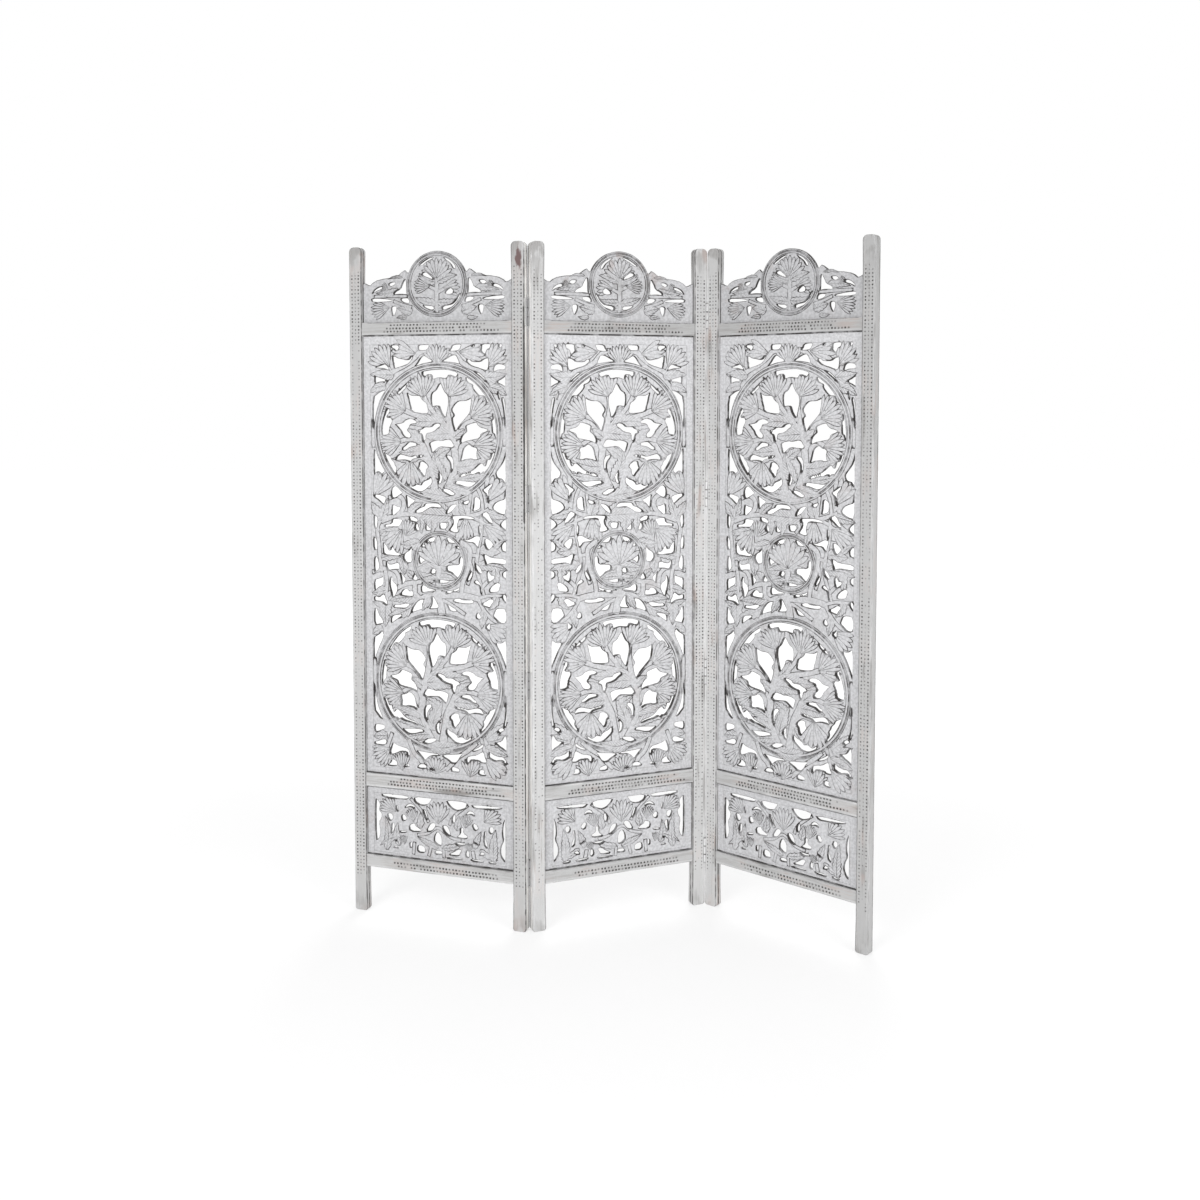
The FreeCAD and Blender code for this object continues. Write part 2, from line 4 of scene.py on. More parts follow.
import bmesh
import bpy
import numpy as np
from mathutils import Matrix, Vector, geometry
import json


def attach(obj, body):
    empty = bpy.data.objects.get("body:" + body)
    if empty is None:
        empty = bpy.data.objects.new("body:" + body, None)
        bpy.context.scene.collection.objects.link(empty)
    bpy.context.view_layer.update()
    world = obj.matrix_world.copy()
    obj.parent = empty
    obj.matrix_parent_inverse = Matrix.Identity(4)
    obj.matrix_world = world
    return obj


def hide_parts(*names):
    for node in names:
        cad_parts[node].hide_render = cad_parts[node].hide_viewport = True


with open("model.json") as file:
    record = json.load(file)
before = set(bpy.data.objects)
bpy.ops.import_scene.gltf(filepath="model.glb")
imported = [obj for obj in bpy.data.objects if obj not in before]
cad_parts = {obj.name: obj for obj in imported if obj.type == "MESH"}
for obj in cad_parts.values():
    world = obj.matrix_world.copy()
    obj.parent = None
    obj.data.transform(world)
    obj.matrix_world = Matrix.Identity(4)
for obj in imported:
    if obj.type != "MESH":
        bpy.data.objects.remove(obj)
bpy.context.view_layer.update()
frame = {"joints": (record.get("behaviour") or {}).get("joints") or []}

fold_lines = {joint["name"]: joint["pos_m"] for joint in frame["joints"]}
left_fold, right_fold = fold_lines["left_fold"], fold_lines["right_fold"]

# The camera, fitted to the photograph, in metres from the left fold
camera_offset = (0.1886, -3.2626)
camera_height = 1.4298
camera_pitch_degrees = 2.99
camera_data = bpy.data.cameras.new("camera")
camera_data.lens = 37.26
camera_data.sensor_width = 36
camera_data.shift_y = -0.1167
camera = bpy.data.objects.new("camera", camera_data)
camera.location = (left_fold[0] + camera_offset[0], left_fold[1] + camera_offset[1], camera_height)
camera.rotation_euler = (math.radians(90 - camera_pitch_degrees), 0, 0)
bpy.context.scene.collection.objects.link(camera)
bpy.context.scene.camera = camera

# Sizes of a panel, in millimetres. Its frame has x along its width, y from front to back, z up.
MM = 0.001
PANEL = 508
POST = 36
DEPTH = 25
MID = DEPTH / 2
HIGH = 1829
RAILS = {"bottom_rail": (126, 160), "middle_rail": (352, 389), "top_rail": (1592, 1625)}
BOARDS = {"main_jali": (387, 1594), "lower_jali": (158, 354)}
OPENINGS = {"main_jali": (57, 407, 451, 1565), "lower_jali": (57, 169, 450, 333)}
BARREL_BACK = 25.75
BARREL_RADIUS = 3.25
PIN_RADIUS = 1.6
HALF_GAP = 0.5
HINGE_HALF = 35
HINGE_HEIGHTS = (154, 660, 1157, 1646)
TUCK = 3
BASE = 3.9
RELIEF_EDGE = 4.6
angles = {"left": -17.6, "middle": 21.7, "right": -40.1}
hinge_points = {
    "left": (left_fold, PANEL + HALF_GAP, BARREL_BACK),
    "middle": (left_fold, -HALF_GAP, BARREL_BACK),
    "right": (right_fold, -HALF_GAP, DEPTH - BARREL_BACK)}


def panel_matrix(panel):
    """Where a panel stands: its hinge line lies on the joint of the frame."""
    axis, x, y = hinge_points[panel]
    turn = Matrix.Rotation(math.radians(angles[panel]), 4, "Z")
    foot = Vector((axis[0], axis[1], 0)) - turn @ Vector((x * MM, y * MM, 0))
    return Matrix.Translation(foot) @ turn


def against(loop, points):
    """For points in the plane: whether each lies inside a loop, and the loop's nearest point."""
    start = np.array(loop, float)
    end = np.roll(start, -1, axis=0)
    step = end - start
    x, z = points[:, :1], points[:, 1:]
    with np.errstate(divide="ignore", invalid="ignore"):
        crossing = start[:, 0] + (z - start[:, 1]) / step[:, 1] * step[:, 0]
    hits = ((start[:, 1] > z) != (end[:, 1] > z)) & (x < crossing)
    share = ((x - start[:, 0]) * step[:, 0] + (z - start[:, 1]) * step[:, 1]) / (step ** 2).sum(axis=1)
    share = np.clip(share, 0, 1)[:, :, None]
    places = start + share * step
    gaps = np.linalg.norm(places - points[:, None, :], axis=2)
    return hits.sum(axis=1) % 2 == 1, places[np.arange(len(points)), gaps.argmin(axis=1)]


# Kinds of form, the mark of a point that is too far from every edge to be darkened, and the distance
# within which the points of posts, rails and hinges are joined
# FOLD is the kind of the side face of a post at a fold, which gets painted light against the shade there
PLAIN, LEAF, PETAL, BORDER, FOLD = 0, 1, 2, 3, 4
CLEAR = 3
WELD = .02


class Carving:
    """A mesh in the making. Each point also says how far it is from its outline, how far across and
    along its own form it lies, and what kind of form that is, for the paint in its recesses."""

    def __init__(self):
        self.points, self.faces, self.marks, self.rims = [], [], [], []

    def add(self, points, faces, marks, rims):
        start = len(self.points)
        self.points += points
        self.faces += [[start + i for i in face] for face in faces]
        self.marks += marks
        self.rims += rims

    def cut(self, holes):
        """Push what reaches into a hole out to its edge and drop the faces that still span it."""
        reach, deep = 7, .3
        points, marks = np.array(self.points, float), np.array(self.marks, float)
        flat = points[:, [0, 2]]
        for loop in holes:
            low, high = np.min(loop, axis=0) - reach, np.max(loop, axis=0) + reach
            near = np.nonzero(np.all((flat > low) & (flat < high), axis=1))[0]
            if len(near):
                inside, nearest = against(loop, flat[near])
                away = nearest - flat[near]
                far = np.maximum(np.linalg.norm(away, axis=1), 1e-6)
                marks[near, 0] = np.where(inside, 0, np.minimum(marks[near, 0], far))
                flat[near] += away * (inside * (1 + .2 / far))[:, None]
        middles = np.array([flat[face].mean(axis=0) for face in self.faces])
        kept = np.ones(len(self.faces), bool)
        for loop in holes:
            low, high = np.min(loop, axis=0), np.max(loop, axis=0)
            near = np.nonzero(kept & np.all((middles > low) & (middles < high), axis=1))[0]
            if len(near):
                inside, nearest = against(loop, middles[near])
                kept[near] = ~(inside & (np.linalg.norm(nearest - middles[near], axis=1) > deep))
        points[:, [0, 2]] = flat
        self.points, self.marks = points.tolist(), marks.tolist()
        self.faces = [face for face, keep in zip(self.faces, kept) if keep]

    def lay(self, relief, holes):
        """Lay a relief on, cut back to the edges of the holes."""
        relief.cut(holes)
        self.add(relief.points, relief.faces, relief.marks, relief.rims)

    def mesh(self, name, mirrored, weld):
        """The mesh in metres, smooth but for the edges that lie on one border of a face."""
        points = np.array(self.points, float)
        if mirrored:
            points[:, 0] = PANEL - points[:, 0]
        mesh = bpy.data.meshes.new(name)
        mesh.from_pydata((points * MM).tolist(), [], self.faces)
        marks = np.column_stack([np.array(self.marks, np.float32), np.array(self.rims, np.float32)])
        for i, label in enumerate(("rim", "across", "along", "kind", "border")):
            layer = mesh.attributes.new(label, "FLOAT", "POINT")
            layer.data.foreach_set("value", np.ascontiguousarray(marks[:, i]))
        shell = bmesh.new()
        shell.from_mesh(mesh)
        if weld:
            bmesh.ops.remove_doubles(shell, verts=shell.verts, dist=WELD * MM)
        bmesh.ops.recalc_face_normals(shell, faces=shell.faces)
        shell.to_mesh(mesh)
        shell.free()
        mesh.polygons.foreach_set("use_smooth", [True] * len(mesh.polygons))
        rims = np.zeros(len(mesh.vertices), np.float32)
        mesh.attributes["border"].data.foreach_get("value", rims)
        mesh.attributes.remove(mesh.attributes["border"])
        ends = np.zeros(len(mesh.edges) * 2, np.int32)
        mesh.edges.foreach_get("vertices", ends)
        pair = rims[ends.reshape(-1, 2)]
        sharp = (pair[:, 0] == pair[:, 1]) & (pair[:, 0] > 0)
        layer = mesh.attributes.new("sharp_edge", "BOOLEAN", "EDGE")
        layer.data.foreach_set("value", sharp)
        return mesh


def quads(rows, columns, closed=False):
    """The faces of a grid of points, row by row; a closed one joins each row's last point to its first."""
    faces = []
    for i in range(rows - 1):
        low, high = i * columns, (i + 1) * columns
        for j in range(columns if closed else columns - 1):
            k = (j + 1) % columns
            faces.append([low + j, low + k, high + k, high + j])
    return faces


def strip(carving, spine, near, far, edge, crown, kind, level, columns):
    """A carved form along a spine, as wide as near and far on its two sides. It is edge thick at its
    outline and crown thicker along its spine, measured from the board's middle to each face."""
    spine = np.array(spine, float)
    count = len(spine)
    ahead = np.gradient(spine, axis=0)
    ahead /= np.maximum(np.linalg.norm(ahead, axis=1), 1e-9)[:, None]
    out = np.stack([-ahead[:, 1], ahead[:, 0]], axis=1)
    steps = np.linalg.norm(np.diff(spine, axis=0), axis=1)
    along = np.concatenate([[0], np.cumsum(steps)])
    points, marks, rims = [], [], []
    shares = np.linspace(-1, 1, columns)
    for face in (-1, 1):
        for i in range(count):
            for share in shares:
                half = near[i] if share > 0 else far[i]
                x, z = spine[i] + out[i] * share * half
                bulge = math.sqrt(max(0, 1 - share * share))
                fall = min(1, min(along[i], along[-1] - along[i]) / max(half, 2) + .15)
                height = edge + level + crown * bulge * fall
                points.append((x, MID + face * height, z))
                rim = (1 - abs(share)) * half * (max(1, CLEAR / half) if kind == PETAL else 1)
                rim = min(rim, along[i] + .4, along[-1] - along[i] + .2)
                marks.append((rim, share * half, along[i], kind))
                border = abs(share) == 1 or i in (0, count - 1)
                rims.append((1 if face < 0 else 2) if border else 0)
    behind = count * columns
    front_faces = quads(count, columns)
    faces = front_faces + [[behind + a, behind + d, behind + c, behind + b] for a, b, c, d in front_faces]
    border = ([i * columns for i in range(count)] + [(count - 1) * columns + j for j in range(1, columns)]
              + [i * columns - 1 for i in range(count - 1, 0, -1)] + list(range(columns - 2, 0, -1)))
    faces += [[a, b, behind + b, behind + a] for a, b in zip(border, border[1:] + border[:1])]
    carving.add(points, faces, marks, rims)


def curve_through(path, per_part):
    """Points on a smooth curve through those of a path."""
    path = [np.array(p, float) for p in path]
    padded = [2 * path[0] - path[1]] + path + [2 * path[-1] - path[-2]]
    points = []
    for i in range(1, len(padded) - 2):
        a, b, c, d = padded[i - 1:i + 3]
        for k in range(per_part):
            t = k / per_part
            points.append(.5 * (2 * b + (c - a) * t + (2 * a - 5 * b + 4 * c - d) * t * t
                                + (3 * b - a - 3 * c + d) * t ** 3))
    return points + [path[-1]]


def stem(carving, width0, width1, path, level):
    """A stem that runs smoothly through the points of a path."""
    spine = curve_through(path, 7)
    shares = np.linspace(0, 1, len(spine))
    half = (width0 + (width1 - width0) * shares) / 2
    strip(carving, spine, half, half, 4.1, .8, PLAIN, level, 5)


def leaf(carving, x0, z0, x1, z1, half_width, rng, level):
    """A leaf with a toothed edge, bent a little to one side."""
    tip = .15
    length = math.hypot(x1 - x0, z1 - z0)
    bend = rng.uniform(-.10, .10) * length
    side_x, side_z = -(z1 - z0) / length, (x1 - x0) / length
    teeth = max(3, round(length / 13))
    count = teeth * 4 + 1
    spine, near, far = [], [], []
    for i in range(count):
        s = i / (count - 1)
        sway = math.sin(math.pi * s) * bend
        spine.append((x0 + (x1 - x0) * s + side_x * sway, z0 + (z1 - z0) * s + side_z * sway))
        shape = math.sin(math.pi * min(1, s ** .8)) ** .75 * (1 - .25 * s) if 0 < s < 1 else 0
        body = half_width * (.28 * (1 - s) ** 2 + 1.15 * shape)
        for sides, shift in ((near, 0), (far, 2)):
            tooth = ((i + shift) % 4) / 4
            sides.append(max(tip, body * (.84 + .30 * tooth)))
    near[-1] = far[-1] = tip
    strip(carving, spine, near, far, 4.3, 1.0, LEAF, level, 7)


def petal(carving, x, z, angle, length, half_width, edge, crown, curl):
    """One petal that points away from a flower's foot and is widest two thirds of the way out."""
    widest = .66
    turn = math.radians(angle)
    spine, half = [], []
    for i in range(10):
        s = i / 9
        bend = curl * s * s * length
        reach = length * s
        spine.append((x + reach * math.cos(turn) - bend * math.sin(turn),
                      z + reach * math.sin(turn) + bend * math.cos(turn)))
        blunt = max(0, (s - widest) / (1 - widest))
        half.append(half_width * (.16 + .84 * min(1, s / widest)) * max(.06, 1 - blunt ** 2.4) ** .6)
    strip(carving, spine, half, half, edge, crown, PETAL, 0, 5)


def flower(carving, x, z, angle, length, spread, rng):
    """A lotus seen from the side: a fan of narrow petals over a cup of short ones."""
    petals = 9 if spread > 56 else 7 if spread > 41 else 5
    step = 2 * spread / petals
    order = sorted(range(petals), key=lambda k: -abs(k - (petals - 1) / 2))
    for k in order:
        away = (k - (petals - 1) / 2) / (petals / 2)
        turn = angle - spread + step * (k + .5)
        reach = length * (1.04 - .13 * away * away - .05 * (k % 2) + rng.uniform(-.03, .03))
        wide = reach * math.sin(math.radians(step / 2)) * .80
        petal(carving, x, z, turn, reach, wide, 4.5 + .3 * (k % 2), .8, -.12 * away)
    for k in (-1, 1):
        petal(carving, x, z, angle + k * spread * .62, length * .36, length * .07, 5.0, .6, -.3 * k)


def circle(count):
    """The cosine and sine of evenly spaced directions."""
    turns = [2 * math.pi * i / count for i in range(count)]
    return [(math.cos(turn), math.sin(turn)) for turn in turns]


def lathe_ring(carving, x, z, profile):
    """A ring from its section: radius, half thickness, distance from its outline, and edge or not."""
    count = 120
    points, marks, rims = [], [], []
    section = [(r, -h, m, e) for r, h, m, e in profile] + [(r, h, m, 2 * e) for r, h, m, e in reversed(profile)]
    for i in range(count):
        turn = 2 * math.pi * i / count
        for r, h, m, e in section:
            points.append((x + r * math.cos(turn), MID + h, z + r * math.sin(turn)))
            marks.append((m, r, turn * r, PLAIN))
            rims.append(e)
    total = len(points)
    faces = [[i % total for i in face] for face in quads(count + 1, len(section), closed=True)]
    carving.add(points, faces, marks, rims)


def ring(carving, x, z, outer, inner, groove):
    """A medallion's ring: two rounded bands with a groove between them."""
    edge = 5.0

    def band(a, b):
        return [(a, edge - .6, 0, 1), (a + 1.2, edge, 1.2, 0), ((a + b) / 2, edge + .5, 3, 0),
                (b - 1.2, edge, 1.2, 0), (b, edge - .8, 0, 0)]

    lathe_ring(carving, x, z, band(inner, groove - .7) + [(groove, edge - 2.4, -.2, 0)]
               + band(groove + .7, outer)[:-1] + [(outer, edge - .6, 0, 1)])


def board_box(name, by=0.0):
    """The corners of a board that seats in the grooves round it, or of a box smaller by a distance."""
    low, high = BOARDS[name]
    left, right = POST - TUCK + by, PANEL - POST + TUCK - by
    return [(left, low + by), (right, low + by), (right, high - by), (left, high - by)]


def frame_border(carving, name):
    """The flat border of a board, from its outer edges in the frame's grooves to the opening's edges."""
    left, low, right, high = OPENINGS[name]

    def opening(by):
        return [(left - by, low - by), (right + by, low - by), (right + by, high + by), (left - by, high + by)]

    line = 2.6
    corners = board_box(name, TUCK + line)
    under_rail = corners[:2] + [(x, z - line) for x, z in corners[2:]]
    loops = [(board_box(name), RELIEF_EDGE, 0, 0), (board_box(name, TUCK), RELIEF_EDGE, 0, 0),
             (under_rail, RELIEF_EDGE, CLEAR, 0), (opening(3), RELIEF_EDGE, CLEAR, 0),
             (opening(1.2), RELIEF_EDGE, 2.2, 0), (opening(0), RELIEF_EDGE - .7, 1.5, 1)]
    points, marks, rims = [], [], []
    for face in (-1, 1):
        for loop, height, mark, rim in loops:
            for x, z in loop:
                points.append((x, MID + face * height, z))
                marks.append((mark, 0, 0, BORDER))
                rims.append(rim * (1 if face < 0 else 2))
    half, last = 4 * len(loops), 4 * len(loops) - 4
    faces = quads(len(loops), 4, closed=True)
    faces += [[half + a, half + d, half + c, half + b] for a, b, c, d in faces]
    for k in range(4):
        n = (k + 1) % 4
        faces.append([last + k, last + n, half + last + n, half + last + k])
        faces.append([k, half + k, half + n, n])
    carving.add(points, faces, marks, rims)


# The pattern, in shares of a 200 mm unit from the middle of a medallion or of the board's opening.
# A flower is its foot, direction, length and half spread; a stem is its two widths and its path;
# a leaf is its foot, its tip and its half width.
UNIT = 200
tree_flower_shares = [
    (-.20, .47, 104, .33, 58), (.15, .48, 64, .33, 60), (-.47, .285, 155, .345, 60),
    (-.54, -.125, 180, .32, 57), (-.41, -.38, 265, .37, 52), (.48, .20, 32, .34, 62),
    (.52, -.17, -5, .32, 58)]
tree_stem_shares = [
    (.13, .085, [(.065, -.86), (.19, -.65), (.25, -.375), (.23, -.15), (.20, .025), (.14, .275), (.15, .50)]),
    (.13, .07, [(-.035, -.86), (-.08, -.60), (-.11, -.425), (-.18, -.275), (-.25, -.135), (-.41, -.09),
                (-.57, -.125)]),
    (.085, .06, [(-.095, -.475), (-.15, -.39), (-.25, -.34), (-.40, -.37)]),
    (.07, .07, [(.19, .025), (.04, .175), (-.085, .30), (-.17, .425), (-.20, .50)]),
    (.08, .08, [(.115, .10), (-.11, .18), (-.285, .22), (-.50, .295)]),
    (.08, .07, [(.215, -.025), (.28, .075), (.38, .175), (.52, .23)]),
    (.07, .07, [(.25, -.25), (.30, -.135), (.415, -.095), (.56, -.17)])]
tree_leaf_shares = [
    (.105, .14, -.06, .37, .07), (.115, .10, -.45, .10, .09), (.20, -.01, -.21, -.06, .10),
    (-.235, -.15, -.47, .04, .075), (-.20, -.24, -.575, -.275, .09), (-.285, -.35, -.69, -.36, .055),
    (.105, -.65, -.05, -.24, .09), (-.02, -.34, .20, -.21, .065), (.25, -.46, .72, -.34, .09),
    (.19, -.625, .74, -.54, .07), (.115, -.71, .52, -.79, .065), (.22, -.08, .40, .05, .06),
    (.14, -.86, -.28, -.79, .09), (-.11, -.50, -.26, -.68, .075), (.02, -.88, .36, -.84, .06)]
lotus_flower_shares = [(0, -.06, 90, .385, 74)]
lotus_stem_shares = [(.10, .10, [(0, -.05), (0, -.36)])]
lotus_leaf_shares = [
    (0, -.07, -.34, -.12, .075), (.02, -.05, .34, -.05, .065), (0, -.22, -.26, -.24, .05), (0, -.22, .26, -.24, .05)]
field_flower_shares = [
    (-.01, 2.62, 90, .28, 60), (-.32, 2.77, 172, .36, 40), (-.71, 2.60, 130, .34, 50),
    (.315, 2.795, -8, .36, 36), (.72, 2.59, 52, .34, 48), (-.96, .84, 58, .38, 36), (.70, .80, 62, .40, 37),
    (-.54, .40, 232, .36, 48), (-.485, .31, 65, .24, 50), (.40, .60, 268, .32, 34), (.66, .50, -35, .34, 36),
    (.68, -.84, -30, .32, 41), (-.73, -2.62, 215, .32, 45), (-.56, -2.92, 95, .27, 42), (-.06, -2.92, 90, .24, 70),
    (.44, -2.92, 80, .27, 52), (.66, -2.64, -35, .36, 40)]
field_stem_shares = [
    (.08, .08, [(-.11, 2.81), (-.25, 2.795), (-.335, 2.72), (-.46, 2.63), (-.66, 2.53), (-.80, 2.38)]),
    (.08, .08, [(.115, 2.81), (.215, 2.795), (.30, 2.72), (.39, 2.63), (.64, 2.52), (.80, 2.34)]),
    (.07, .07, [(-.77, 2.67), (-.68, 2.50)]), (.06, .06, [(.715, 2.645), (.72, 2.48)]),
    (.06, .06, [(-.96, 1.50), (-.96, 1.90)]), (.06, .06, [(.96, 1.54), (.96, 1.93)]),
    (.08, .07, [(-.86, .50), (-.66, .58), (-.525, .68), (-.52, .80), (-.61, .86), (-.74, .82)]),
    (.07, .07, [(-.86, .53), (-.485, .61), (-.21, .59), (.19, .58), (.415, .60), (.665, .67), (.74, .71)]),
    (.055, .055, [(.415, .60), (.45, .745), (.475, .92)]),
    (.06, .06, [(.65, .63), (.64, .77), (.615, .895), (.57, .99)]),
    (.065, .065, [(.69, .66), (.79, .53), (.90, .46)]),
    (.06, .06, [(.415, .61), (.59, .56), (.69, .50), (.78, .50)]),
    (.07, .07, [(-.86, .53), (-.91, .42), (-.90, .27), (-.88, .07), (-.85, -.20)]),
    (.055, .055, [(0, .56), (.14, .545), (.175, .48), (.115, .40)]),
    (.06, .06, [(.63, .66), (.62, .37), (.58, .17), (.55, -.055), (.59, -.23), (.66, -.46)]),
    (.08, .07, [(.31, .27), (.45, .17), (.45, 0), (.415, -.13), (.35, -.30), (.33, -.47)]),
    (.055, .055, [(.46, 0), (.485, -.13), (.42, -.32)]), (.06, .06, [(.45, .09), (.60, .08)]),
    (.06, .06, [(.615, -.355), (.715, -.255), (.86, -.17)]), (.055, .055, [(.565, -.49), (.74, -.445), (.99, -.44)]),
    (.13, .12, [(0, -.38), (-.03, -.48), (.015, -.58), (.05, -.75)]),
    (.11, .09, [(0, -.465), (.19, -.465), (.39, -.465), (.62, -.505)]),
    (.06, .06, [(.045, -.53), (.19, -.60), (.39, -.72)]),
    (.06, .06, [(.57, -.50), (.65, -.63), (.715, -.705), (.815, -.78), (1.0, -.82)]),
    (.07, .07, [(-.48, -.60), (-.285, -.53), (-.16, -.48), (0, -.465)]), (.08, .08, [(-.355, -.29), (-.355, -.58)]),
    (.075, .075, [(-.80, -.54), (-.66, -.43), (-.485, -.34), (-.24, -.30)]),
    (.07, .07, [(-1.0, -.205), (-.835, -.145), (-.685, -.155), (-.605, -.23), (-.58, -.36)]),
    (.065, .065, [(-.80, -.155), (-.775, -.33), (-.785, -.48), (-.77, -.62)]),
    (.06, .06, [(-.48, -.78), (-.36, -.62), (-.22, -.49)]),
    (.06, .06, [(-.965, -1.93), (-.965, -1.38)]), (.06, .06, [(.965, -1.93), (.965, -1.44)]),
    (.06, .06, [(-.71, -2.40), (-.785, -2.62), (-.75, -2.78)]),
    (.07, .07, [(-.47, -2.46), (-.385, -2.655), (-.285, -2.755), (-.20, -2.93)]),
    (.07, .07, [(.08, -2.86), (.19, -2.755), (.28, -2.655), (.415, -2.56), (.55, -2.44)]),
    (.06, .06, [(.60, -2.36), (.665, -2.58), (.68, -2.70)])]
field_leaf_shares = [
    (-.64, 2.49, -1.0, 2.50, .075), (-.76, 2.345, -1.0, 2.25, .065), (.66, 2.45, 1.0, 2.50, .075),
    (.74, 2.33, 1.0, 2.21, .065), (-.85, .52, -.74, .83, .06), (-.835, .52, -1.0, .77, .07),
    (.21, .60, -.44, .63, .10), (-.44, .61, -.22, .78, .06), (.15, .64, -.02, .80, .055),
    (.415, .59, .30, .84, .08), (.70, .66, 1.0, .595, .06), (-.58, .40, -.90, .36, .055),
    (-.27, .59, -.25, .35, .06), (-.10, .57, -.09, .36, .08),
    (.315, .47, .27, .25, .06), (.60, .16, .90, .14, .085), (.80, .18, 1.0, .31, .04), (.56, -.055, 1.0, -.10, .07),
    (.83, -.06, .85, -.33, .06), (.84, -.445, .72, -.64, .06), (-.09, -.46, -.17, -.66, .045),
    (.665, -.64, .62, -.90, .06),
    (-.25, -.53, -.74, -.58, .075), (-.77, -.43, -1.0, -.49, .07), (-.86, -.005, -.54, .02, .06),
    (-.56, .06, -.51, -.22, .08), (-.36, -.255, -.50, -.16, .05), (-.27, .24, -.58, .20, .075),
    (-.69, -.62, -1.0, -.605, .06), (-.80, -.58, -.80, -.95, .085), (-.39, -.645, -.77, -.79, .075),
    (-.12, -.48, -.25, -.70, .055), (-.84, -.96, -1.0, -1.06, .065), (-.78, -2.46, -1.0, -2.48, .07),
    (-.76, -2.62, -1.0, -2.655, .06), (.66, -2.50, 1.0, -2.59, .07), (.70, -2.42, 1.0, -2.30, .06),
    (.68, -2.39, 1.0, -2.12, .06)]


